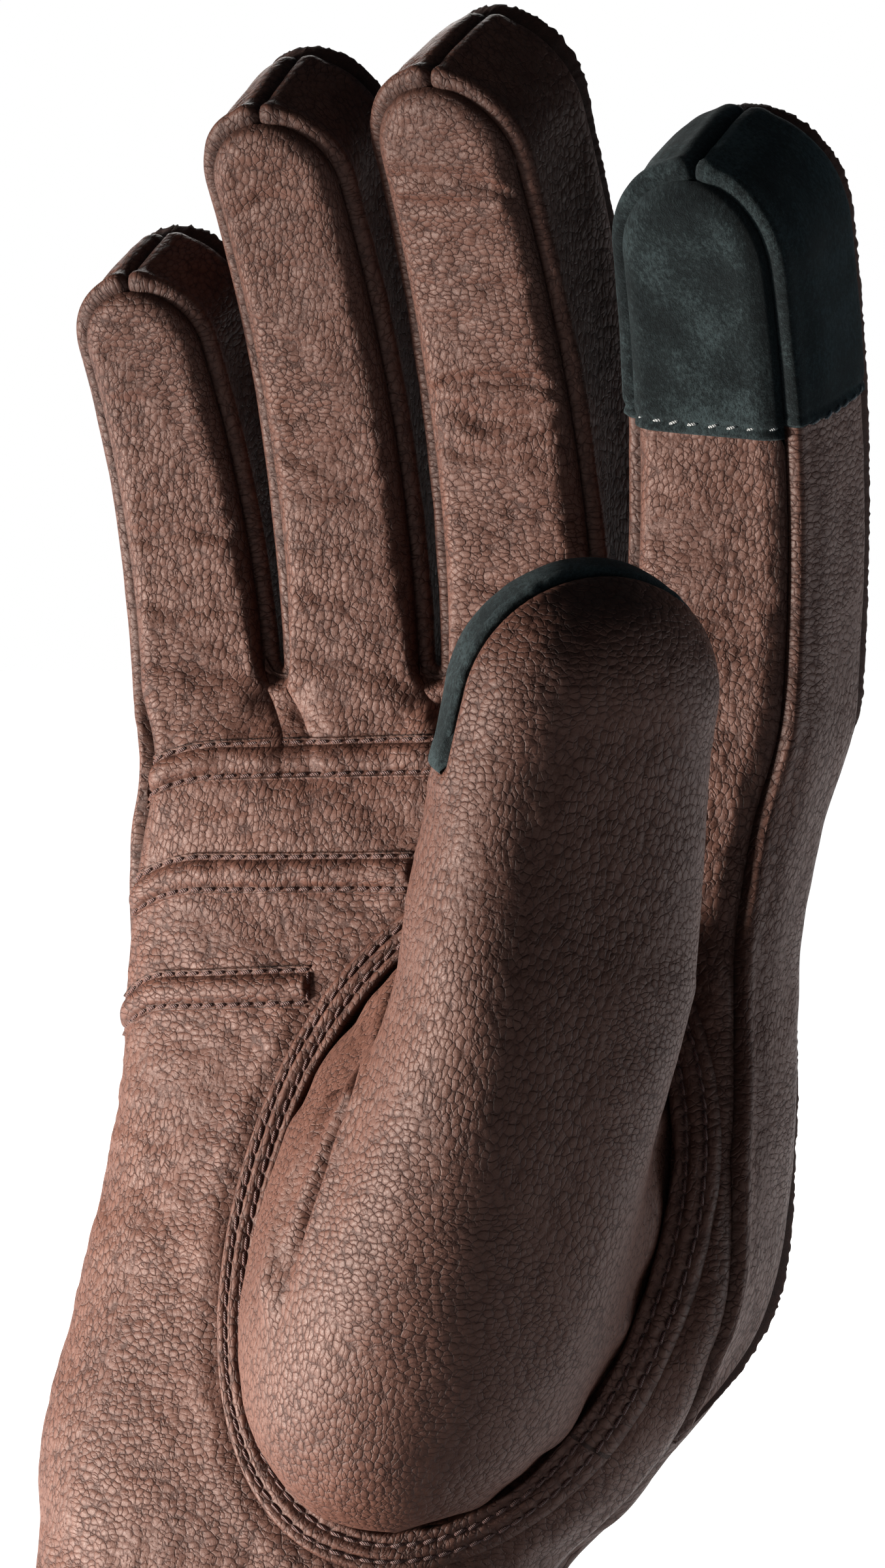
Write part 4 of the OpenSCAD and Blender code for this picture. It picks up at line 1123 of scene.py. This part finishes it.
def make_thumb():
    """The thumb's leather, from the palm's opening over the back of the tip, and its suede patch."""
    m = 224
    psi = np.linspace(0, 2 * PI, m, endpoint=False)[None]
    v = np.linspace(0, 1, 118)[:, None] ** 0.92
    low = thumb_base(np.broadcast_to(psi, (118, m)), np.broadcast_to(v, (118, m)))
    start = ring_pt(psi[0], -1.5, -4.2)[None]
    h = np.linspace(0, TH_PATCH, 52)[1:, None]
    w = TH.wd(h)
    mid = TH.dp(w[0] * sp(np.sin(psi), 2 / TH.n), h, w[1] * sp(np.cos(psi), 2 / TH.n))
    P = np.concatenate([start, low, mid])
    run = arc(P, 0)
    sc = P[..., [0, 2, 1]] + 200.0
    # dorsal cap above the patch's foot
    q = m // 4
    idx = np.concatenate([np.arange(m - q, m), np.arange(0, q + 1)])
    u = sp(np.sin(psi[0, idx]), 2 / TH.n)
    top = TH.hm + TH.R * np.sqrt(np.maximum(1 - u ** 2, 0))
    g = np.linspace(0, 1, 64)[:, None]
    hc = mix(TH_PATCH, top[None], np.sin(g * PI / 2))
    cap = TH.skin(u[None], hc, -1)
    csc = cap[..., [0, 2, 1]] + 200.0
    way = np.linspace(TH_PATCH, TH.hm + PI * TH.R / 2, 120)
    fine = np.concatenate([resample(TH.strip(side, way, 0.0), 0.3) for side in (1, -1)])
    e, ce = nearest(fine, P), nearest(fine, cap)
    n = grid_normals(P, True)
    flip = np.sum(n[150] * (P[150] - TH.axis_pt(10.0))) < 0
    sign = -1 if flip else 1
    n = n * sign
    full = np.concatenate([P[:, idx], cap[1:]])
    fn = grid_normals(full) * sign
    d = thumb_relief(sc, np.broadcast_to(psi, run.shape), run, e)
    dc = thumb_grain(csc, smooth(ce, 0.5, 5)) + rim_lip(ce)
    d = d + thumb_folds(P)
    back = (np.cos(psi) > -0.05) | (run < run[-1:] - 3)
    d = d + np.where(back, rim_lip(e), 0)
    P2 = P + n * d[..., None]
    C2 = cap + fn[len(P) - 1:] * dc[..., None]
    C2[0] = P2[-1, idx]
    n2 = grid_normals(P2, True) * sign
    f2 = grid_normals(np.concatenate([P2[:, idx], C2[1:]])) * sign
    n2[-1, idx] = f2[len(P) - 1]
    # painted shade with some dirt: dark where the thumb meets the opening's binding, and near the tip's rim
    dk = 0.85 * np.exp(-run / 2.2) + 0.3 * np.exp(-(e / 1.0) ** 1.5)
    b = Build()
    b.grid(P2, sc, np.clip(dk, 0, 1), wrap=True, flip=flip, normals=n2)
    # painted shade with some dirt near the tip's rim
    b.grid(C2, csc, 0.3 * np.exp(-(ce / 1.0) ** 1.5), flip=flip, normals=f2[len(P) - 1:])
    b.make("thumb_leather", LEATHER, ("thumb_base", "thumb_back", "thumb_side"), "leather", bend_of(4))
    # suede palm side of the tip, its foot lapping over the leather
    ci = np.arange(q, m - q + 1)
    u = sp(np.sin(psi[0, ci]), 2 / TH.n)
    top = TH.hm + TH.R * np.sqrt(np.maximum(1 - u ** 2, 0))
    g = np.linspace(0, 1, 90)[:, None]
    hs = mix(TH_PATCH - 1.5, top[None], np.sin(g * PI / 2))
    S = TH.skin(u[None], hs, 1)
    sn = grid_normals(S)
    ss = -1 if np.sum(sn[30, len(ci) // 2] * (S[30, len(ci) // 2] - TH.axis_pt(30.0))) < 0 else 1
    se = nearest(fine, S)
    edge = hs - hs[0]
    d = 0.65 * rise_of(edge, 0.4) * smooth(se, 0, 1.0) - 0.3 * dip(se, 1.2)
    ssc = grid3(arc(S, 1), arc(S, 0) + 500, 20.0)
    d = d + 0.3 * fbm(ssc, (10, 12, 9), 61) * smooth(se, 1, 5) * smooth(edge, 1, 5)
    S2 = S + sn * ss * d[..., None]
    skirt = S2[[0]] - sn[[0]] * ss * 0.8
    S2 = np.concatenate([skirt, S2])
    ssc = np.concatenate([ssc[[0]], ssc])
    # painted shade on the tucked skirt row, and painted shade with dirt near the rim
    dk = np.concatenate([np.full((1, se.shape[1]), 0.5), 0.4 * np.exp(-se)])
    Build().grid(S2, ssc, dk, flip=ss < 0, normals=grid_normals(S2) * ss).make(
        "thumb_patch", SUEDE, ("thumb_patch",), "suede", bend_of(4))


def make_thumb_rim():
    """The rolled suede edge that shows round the thumb's tip."""
    be = np.linspace(-14, 194, 260)
    bb = rad(np.clip(be, 0, 180))
    down = np.where(be < 0, -be / 15, np.where(be > 180, (be - 180) / 15, 0))
    h = TH.hm - down * (TH.hm - TH_PATCH)
    w = TH.wd(h)
    line = TH.dp(-np.cos(bb) * w[0], h + TH.R * np.sin(bb), -1.2)
    out = unit(TH.dp(-np.cos(bb) * (w[0] + 1), h + (TH.R + 1) * np.sin(bb), -1.2) - line)
    tan = unit(np.gradient(line, axis=0))
    side = unit(np.cross(tan, out))
    a = np.linspace(0, 2 * PI, 15)[:-1]
    fade = np.minimum(smooth(be, -14, -6), smooth(-be, -194, -186))
    wob = 1 + 0.10 * vn(grid3(be * 0.3, 0, 0), 1.3, 66)
    G = line[:, None] + (np.cos(a)[None, :, None] * out[:, None] * (0.75 * fade * wob)[:, None, None]
                         + np.sin(a)[None, :, None] * side[:, None] * (1.35 * fade * wob)[:, None, None])
    good = np.sum(grid_normals(G, True)[130, 0] * out[130]) > 0
    Build().grid(G, G, 0.1, wrap=True, flip=not good).make(
        "thumb_tip_edge", SUEDE, ("thumb_tip_edge",), "suede", bend_of(4))


# ------------------------------------------------------------------ band, pleats, cuff
def make_band():
    """The turned, double-stitched edge of the thumb's opening."""
    m = 420
    psi = np.linspace(0, 2 * PI, m, endpoint=False)
    wob = 0.22 * vn(grid3(np.cos(psi) * 9, np.sin(psi) * 9, 0), 1.0, 14)
    prof = [(-0.9, -2.6), (-0.7, 0.6), (-0.5, 1.15), (-0.1, 1.35), (0.4, 1.32), (0.9, 1.05), (1.3, 0.78),
            (1.7, 1.05), (2.2, 1.3), (2.6, 1.36), (3.0, 1.28), (3.4, 0.98), (3.75, 0.7), (4.1, 0.92),
            (4.6, 1.1), (5.1, 0.92), (5.45, 0.45), (5.7, -0.6)]
    G = np.stack([ring_pt(psi, g + wob * (1 - g / 6), l) for g, l in prof], 1)
    d = 0.12 * vn(G, (3.2, 3.2, 3.2), 15) * (np.array([p[1] for p in prof]) > 0.5)[None]
    n = grid_normals(G.transpose(1, 0, 2), True).transpose(1, 0, 2)
    sign = -1 if n[100, 9, 1] > 0 else 1
    G = G + n * sign * d[..., None]
    sc = grid3(psi[:, None] * 39, np.array([p[0] for p in prof]) + 700, 12.0)
    # painted shade in the two stitched grooves and on the tucked edges of the binding
    dk = np.array([1, 0.9, 0.55, 0.1, 0, 0.3, 0.6, 0.3, 0, 0, 0, 0.35, 0.6, 0.3, 0, 0.1, 0.6, 1.0])
    G, sc = G.transpose(1, 0, 2), sc.transpose(1, 0, 2)
    N = grid_normals(G, True)
    flip = N[9, 100, 1] > 0
    Build().grid(G, sc, np.broadcast_to(dk[:, None], G.shape[:2]), wrap=True, flip=flip).make(
        "thumb_opening_binding", LEATHER, ("thumb_opening_binding",), "leather")
    lines = []
    for g, l in ((1.3, 0.86), (3.75, 0.78)):
        p = ring_pt(np.append(psi, psi[0]), g, l)
        out = ring_pt(np.append(psi, psi[0]), g, l + 1) - p
        lines.append((p, unit(out)))
    make_stitches("thumb_opening_stitching", lines, THREAD, ("thumb_opening_stitching",), "thread",
                  pitch=2.35, length=2.1)


# Left end as a share of the half width, right end's x, and the height of either end.
PLEATS = [(0.955, 34.0, 178.8, 180.8), (0.965, 28.5, 161.8, 163.3), (0.985, 12.0, 143.6, 145.9)]
PLEAT_H = 3.7


def pleat_line(p, s, q):
    """A point of a pleat: s along it, q across it."""
    c = hand(np.array(p[2]))
    x = mix(c[0] - p[0] * c[2], p[1], s)
    z = mix(p[2], p[3], s) - PLEAT_H * q - 4 * dip(s, 0.28)
    return x, z


class Skin:
    """Looks up the finished palm or back at (x, z)."""

    def __init__(s, panels):
        s.p = panels

    def at(s, x, z):
        x, z = np.broadcast_arrays(np.asarray(x, float), np.asarray(z, float))
        Z = s.p.z
        j = np.clip((z - Z[0]) / (Z[1] - Z[0]), 0, len(Z) - 1.001)
        i0 = j.astype(int)
        f = (j - i0)[..., None]
        out = np.zeros(x.shape + (6,))
        for idx in np.ndindex(x.shape):
            vals = []
            for r in (i0[idx], i0[idx] + 1):
                row = s.p.P[r]
                c = np.interp(x[idx], row[:, 0], np.arange(len(row)))
                c0 = min(int(c), len(row) - 2)
                fr = c - c0
                normal = mix(s.p.N[r, c0], s.p.N[r, c0 + 1], fr)
                vals.append(np.concatenate([mix(row[c0], row[c0 + 1], fr), normal]))
            out[idx] = mix(vals[0], vals[1], f[idx])
        out[..., 2] = z
        return out[..., :3], unit(out[..., 3:])


def make_pleats(skin):
    """Three stitched pleats across the palm."""
    b, lines = Build(), []
    for i, p in enumerate(PLEATS):
        s = np.linspace(0, 1, 110)[:, None]
        q = np.linspace(-0.42, 1.42, 19)[None]
        prof = 0.85 * np.clip(np.sin(PI * np.clip((q + 0.02) / 1.04, 0, 1)), 0, 1) ** 0.6
        prof = prof - 0.5 * (bump(q, -0.16, 0.09) + bump(q, 1.16, 0.09))
        prof = prof + 0.42 * (bump(q, -0.3, 0.07) + bump(q, 1.3, 0.07))
        prof = prof - 0.9 * smooth(np.abs(q - 0.5), 0.84, 0.92)
        x, z = np.broadcast_arrays(*pleat_line(p, s, q))
        P, n = skin.at(x, z)
        wob = 0.14 * vn(grid3(x * 0.35, q * 2, i), 1.0, 24)
        lift = prof * smooth(1 - s, 0, 0.03) + 0.12 - 0.9 * (1 - smooth(1 - s, 0, 0.012))
        lift = lift + wob * np.sin(PI * np.clip(q, 0, 1))
        G = P + n * lift[..., None]
        # painted shade in the grooves along both feet of each pleat
        dk = 0.5 * (bump(q, -0.1, 0.1) + bump(q, 1.1, 0.1))
        sc = grid3(x, z, 10.0)
        N = grid_normals(G)
        good = np.mean(np.sum(N * n, -1)) > 0
        b.grid(G, sc, dk, flip=not good, normals=N if good else -N)
        for qq in (-0.16, 1.16):
            t = np.linspace(0.0, 0.985, 90)
            x, z = pleat_line(p, t, qq)
            P, n = skin.at(x, z)
            lines.append((P - n * 0.12, n))
        if i == 2:
            t = np.linspace(-0.16, 1.16, 12)
            x, z = pleat_line(p, np.full(12, 0.985), t)
            P, n = skin.at(x, z)
            lines.append((P + n * 0.05, n))
    b.make("palm_pleats", LEATHER, ("palm_pleats",), "leather")
    make_stitches("palm_stitching", lines, THREAD, ("palm_stitching",), "thread", pitch=2.35, length=2.05)


def make_back_points(skin):
    """Three raised points on the back."""
    b, lines = Build(), []
    for k in (-1, 0, 1):
        s = np.linspace(0, 1, 120)
        x, z = 29 + k * mix(15, 24, s), mix(96, 166, s)
        P, n = skin.at(x, z)
        tan = unit(np.gradient(P, axis=0))
        side = unit(np.cross(tan, n))
        size = smooth(s, 0, 0.12) * smooth(1 - s, 0, 0.12)
        prof = [(-2.6, -0.35), (-1.7, 0.05), (-1.15, 0.35), (-0.75, 0.95), (0, 1.3), (0.75, 0.95),
                (1.15, 0.35), (1.7, 0.05), (2.6, -0.35)]
        G = np.stack([P + side * w + n * (rise * size - 0.3 * (1 - size))[:, None] for w, rise in prof], 1)
        N = grid_normals(G)
        good = np.mean(np.sum(N[:, 4] * n, -1)) > 0
        sc = grid3(G[..., 0], G[..., 2], 43.0)
        # painted shade in the stitch grooves beside each raised point
        dk = np.broadcast_to(np.array([0, 0.1, 0.5, 0.1, 0, 0.1, 0.5, 0.1, 0]), G.shape[:2])
        b.grid(G, sc, dk, flip=not good, normals=N if good else -N)
        for w in (-1.15, 1.15):
            lines.append((P + side * w + n * (0.3 * size)[:, None], n))
    b.make("back_points", LEATHER, ("back_points",), "leather")
    make_stitches("back_points_stitching", lines, THREAD, (), "thread", pitch=2.5, length=2.1, r=0.26)


def around(z, a, off):
    """A point outside the hand's skin by off."""
    cx, cy, w, d, n = hand(np.maximum(z, 0.0))
    return grid3(cx + (w + off) * sp(np.sin(a), 2 / n), cy - (d + off) * sp(np.cos(a), 2 / n), z)


def make_cuff():
    """The hem with its stitching, the lining of the hand and the elastic at the wrist."""
    m = 300
    a = np.linspace(0, 2 * PI, m, endpoint=False)[None]
    prof = [(12, -2.6), (6, -2.6), (2.2, -2.5), (0.9, -2.1), (0.25, -1.3), (0.0, -0.3), (0.25, 0.7),
            (0.9, 1.35), (2.2, 1.6), (5, 1.45), (8, 1.5), (10.2, 1.4), (11.2, 0.95), (11.6, 0.75),
            (12.0, 0.95), (12.9, 1.45), (13.7, 1.25), (14.1, 0.6), (14.2, -0.8)]
    rows = []
    for z, off in prof:
        wob = 0.35 * vn(grid3(a[0] * 11, z * 0.3, 0), 1.0, 33) * (1 if off > 0 else 0)
        rows.append(around(np.full((1, m), z), a, off + wob[None])[0])
    G = np.stack(rows)
    N = grid_normals(G, True)
    flip = np.sum(N[9, 0] * np.array([0, -1, 0])) < 0
    L = arc(G, 0)
    sc = grid3(a * 42, L, 5.0)
    # painted shade inside the hem, in its stitched groove and on its inward fold
    dk = np.array([0.3, 0.2, 0.2, 0.1, 0, 0, 0, 0, 0, 0, 0, 0.1, 0.4, 0.6, 0.4, 0, 0.1, 0.6, 1.0])
    Build().grid(G, sc, np.broadcast_to(dk[:, None], G.shape[:2]), wrap=True, flip=flip).make(
        "hem", LEATHER, ("hem",), "side_leather")
    ring = np.append(a[0], a[0, 0])
    line = around(np.full(m + 1, 11.6), ring, 0.85)
    n = unit(around(np.full(m + 1, 11.6), ring, 1.85) - line)
    make_stitches("hem_stitching", [(line, n)], THREAD, ("hem_stitching",), "thread", pitch=2.9, length=2.5)
    # lining inside the hand
    z = np.linspace(3, 172, 110)[:, None]
    a2 = np.linspace(0, 2 * PI, 160, endpoint=False)[None]
    L = around(z, a2, -3.6)
    sc = grid3(a2 * 42, z, 0.0)
    L = L + grid_normals(L, True) * (0.5 * fbm(sc, (9, 9, 9), 51))[..., None]
    Build().grid(L, sc, 0.0, wrap=True).make("hand_lining", LINING, ("hand_lining",), "lining")
    z = np.linspace(47.5, 60.5, 16)[:, None]
    E = around(z, a2, -2.2)
    Build().grid(E, grid3(a2 * 42, z, 0.0), 0.0, wrap=True).make(
        "wrist_elastic", ELASTIC, ("wrist_elastic",), "elastic")


def make_linings():
    """The lining of each digit."""
    a = np.linspace(0, 2 * PI, 48, endpoint=False)[None]
    for k in range(5):
        d = TH if k == 4 else D[k]
        p = 2 / d.n
        round_tip = d.hm + (d.R - 3.2) * np.sin(np.linspace(0.06, 1.5, 18))
        h = np.concatenate([np.linspace(1, d.hm, 40), round_tip])[:, None]
        w = d.wd(np.minimum(h, d.hm))
        c = np.sqrt(np.clip(1 - (np.maximum(h - d.hm, 0) / (d.R - 3.0)) ** 2, 0.001, 1))
        L = d.dp((w[0] - 3.1) * sp(np.sin(a), p) * c, h, -(w[1] - 3.1) * sp(np.cos(a), p) * c)
        sc = grid3(a * 13, h, 90.0)
        sign = np.sum(grid_normals(L, True)[10, 0] * (L[10, 0] - d.axis_pt(h[10, 0]))) < 0
        name = "thumb_lining" if k == 4 else NAMES[k] + "_lining"
        nodes = (name,) if k == 4 else (name, "finger_lining")
        Build().grid(L, sc, 0.0, wrap=True, flip=sign).make(name, LINING, nodes, "lining", bend_of(k))


# ------------------------------------------------------------------ build
def make_patch_stitches():
    """The row of stitches round the foot of the index finger's patch."""
    d = D[3]
    u = np.linspace(-RS * 0.96, 0.72 * 0.97, 60)
    h = PATCH0 + 2.9
    p, q = d.skin(u, h, 1), d.skin(u, h, 1, -1.0)
    lines = [(p + unit(q - p) * 0.4, unit(q - p))]
    for s, rise in ((1, 1.6), (-1, 0.6)):
        t = np.linspace(-0.94, 0.94, 60)
        ta = depth_angle(3, s, t, 0.0)
        pp = PATCH0 + 3.0 + rise * (t + 1) / 2
        p, q = d.strip(s, pp, ta), d.strip(s, pp, ta, -1.0)
        lines.append((p + unit(q - p) * 0.35, unit(q - p)))
    make_stitches("index_patch_stitching", lines, GREY_THREAD, ("index_patch_stitching",), "patch_thread",
                  blend=bend_of(3), pitch=2.75, length=1.75, r=0.23, tilt=0.3)


palm, back = Panels(1), Panels(-1)
palm.hand_piece("palm_panel", ("palm_panel",))
back.hand_piece("back_panel", ("back_panel",))
for k in range(4):
    palm.finger_piece(k, NAMES[k] + "_front", (NAMES[k] + "_front",))
    back.finger_piece(k, NAMES[k] + "_back", (NAMES[k] + "_back",))
for k, s in SIDES:
    make_strip(k, s)
    make_fin(k, s)
make_thumb()
make_thumb_rim()
make_band()
make_pleats(Skin(palm))
make_back_points(Skin(back))
make_patch_stitches()
make_cuff()
make_linings()

# ------------------------------------------------------------------ stage, light, camera
TARGET = Vector((0.026, 0.0092, 0.1741))
LOW, FINGERS, SIDE = Vector((-0.015, 0.0, 0.062)), Vector((0.03, 0.0, 0.24)), Vector((0.045, -0.03, 0.105))
AZ, EL, DIST = 25.0, 2.0, 0.9


def place(az, el, dist, at=TARGET):
    """The place at these angles and this distance from a point."""
    a, e = math.radians(az), math.radians(el)
    return at + Vector((math.sin(a) * math.cos(e), -math.cos(a) * math.cos(e), math.sin(e))) * dist


def aim(o, at):
    o.rotation_euler = (at - o.location).to_track_quat("-Z", "Y").to_euler()


def softbox(name, az, el, dist, size, power, colour, at=TARGET, spread=180):
    d = bpy.data.lights.new(name, "AREA")
    d.shape, d.size, d.size_y = "RECTANGLE", size[0], size[1]
    d.energy, d.color, d.spread = power, colour, math.radians(spread)
    o = bpy.data.objects.new(name, d)
    o.location = place(az, el, dist, at)
    bpy.context.scene.collection.objects.link(o)
    aim(o, at)
    return o


def make_floor():
    n = Nodes("pale_floor")
    pos = n.add("ShaderNodeNewGeometry").outputs["Position"]
    f = n.noise(Vector=pos, Scale=9.0, Detail=3.0)
    pale = n.ramp(f, [(0.3, (0.86, 0.86, 0.86)), (0.7, (0.9, 0.9, 0.9))])
    mat = n.finish(pale, 0.9, f, 0.00002, Specular_IOR_Level=0.0)
    me = bpy.data.meshes.new("floor")
    m, rings = 96, [0.0, 0.3, 0.8, 2.0, 5.0, 12.0]
    V = [(0, 0, -0.0005)] + [(r * math.cos(2 * PI * i / m), r * math.sin(2 * PI * i / m), -0.0005)
                            for r in rings[1:] for i in range(m)]
    F = [(0, 1 + i, 1 + (i + 1) % m) for i in range(m)]
    for low in range(1, 1 + m * (len(rings) - 2), m):
        pairs = [(low + i, low + (i + 1) % m) for i in range(m)]
        F += [(a, a + m, b + m, b) for a, b in pairs]
    me.from_pydata(V, [], F)
    me.materials.append(mat)
    o = bpy.data.objects.new("floor", me)
    bpy.context.scene.collection.objects.link(o)
    return o


floor = make_floor()
softbox("key", -64, -10, 0.75, (0.22, 0.40), 1.75, (1.0, 0.92, 0.84), LOW, 38)
front = softbox("front", -30, 25, 0.7, (0.25, 0.25), 0.020, (1.0, 0.92, 0.84), FINGERS, 34)
softbox("rim", 126, -14, 0.6, (0.15, 0.3), 0.045, (0.82, 0.94, 1.0), SIDE, 32)
softbox("rear", 205, 25, 1.5, (0.7, 0.7), 14.0, (1.0, 0.97, 0.94))
floor.visible_diffuse = False
floor.visible_shadow = False
sun = bpy.data.lights.new("floor_sun", "SUN")
sun.energy, sun.angle = 3.9, 0.6
over = bpy.data.objects.new("floor_sun", sun)
bpy.context.scene.collection.objects.link(over)
only_floor = bpy.data.collections.new("floor_only")
only_floor.objects.link(floor)
over.light_linking.receiver_collection = only_floor
not_thumb = bpy.data.collections.new("all_but_the_thumb")
for o in list(bpy.context.scene.objects):
    if o.type == "MESH" and not o.name.startswith("glove_thumb_leather"):
        not_thumb.objects.link(o)
front.light_linking.receiver_collection = not_thumb

bpy.context.scene.view_settings.view_transform = "Standard"
world = bpy.data.worlds.new("studio")
bpy.context.scene.world = world
world.use_nodes = True
t = world.node_tree
t.nodes.clear()
seen = t.nodes.new("ShaderNodeBackground")
seen.inputs[0].default_value, seen.inputs[1].default_value = (1, 1, 1, 1), 1.0
lit = t.nodes.new("ShaderNodeBackground")
lit.inputs[0].default_value, lit.inputs[1].default_value = (0.55, 0.80, 1, 1), 0.038
ray = t.nodes.new("ShaderNodeLightPath")
both = t.nodes.new("ShaderNodeMixShader")
end = t.nodes.new("ShaderNodeOutputWorld")
t.links.new(ray.outputs["Is Camera Ray"], both.inputs[0])
t.links.new(lit.outputs[0], both.inputs[1])
t.links.new(seen.outputs[0], both.inputs[2])
t.links.new(both.outputs[0], end.inputs[0])

cam = bpy.data.objects.new("camera", bpy.data.cameras.new("camera"))
cam.data.sensor_fit, cam.data.sensor_height, cam.data.lens = "VERTICAL", 24.0, 91.0
cam.data.clip_start, cam.data.clip_end = 0.01, 50.0
cam.location = place(AZ, EL, DIST)
aim(cam, TARGET)
bpy.context.scene.collection.objects.link(cam)
bpy.context.scene.camera = cam
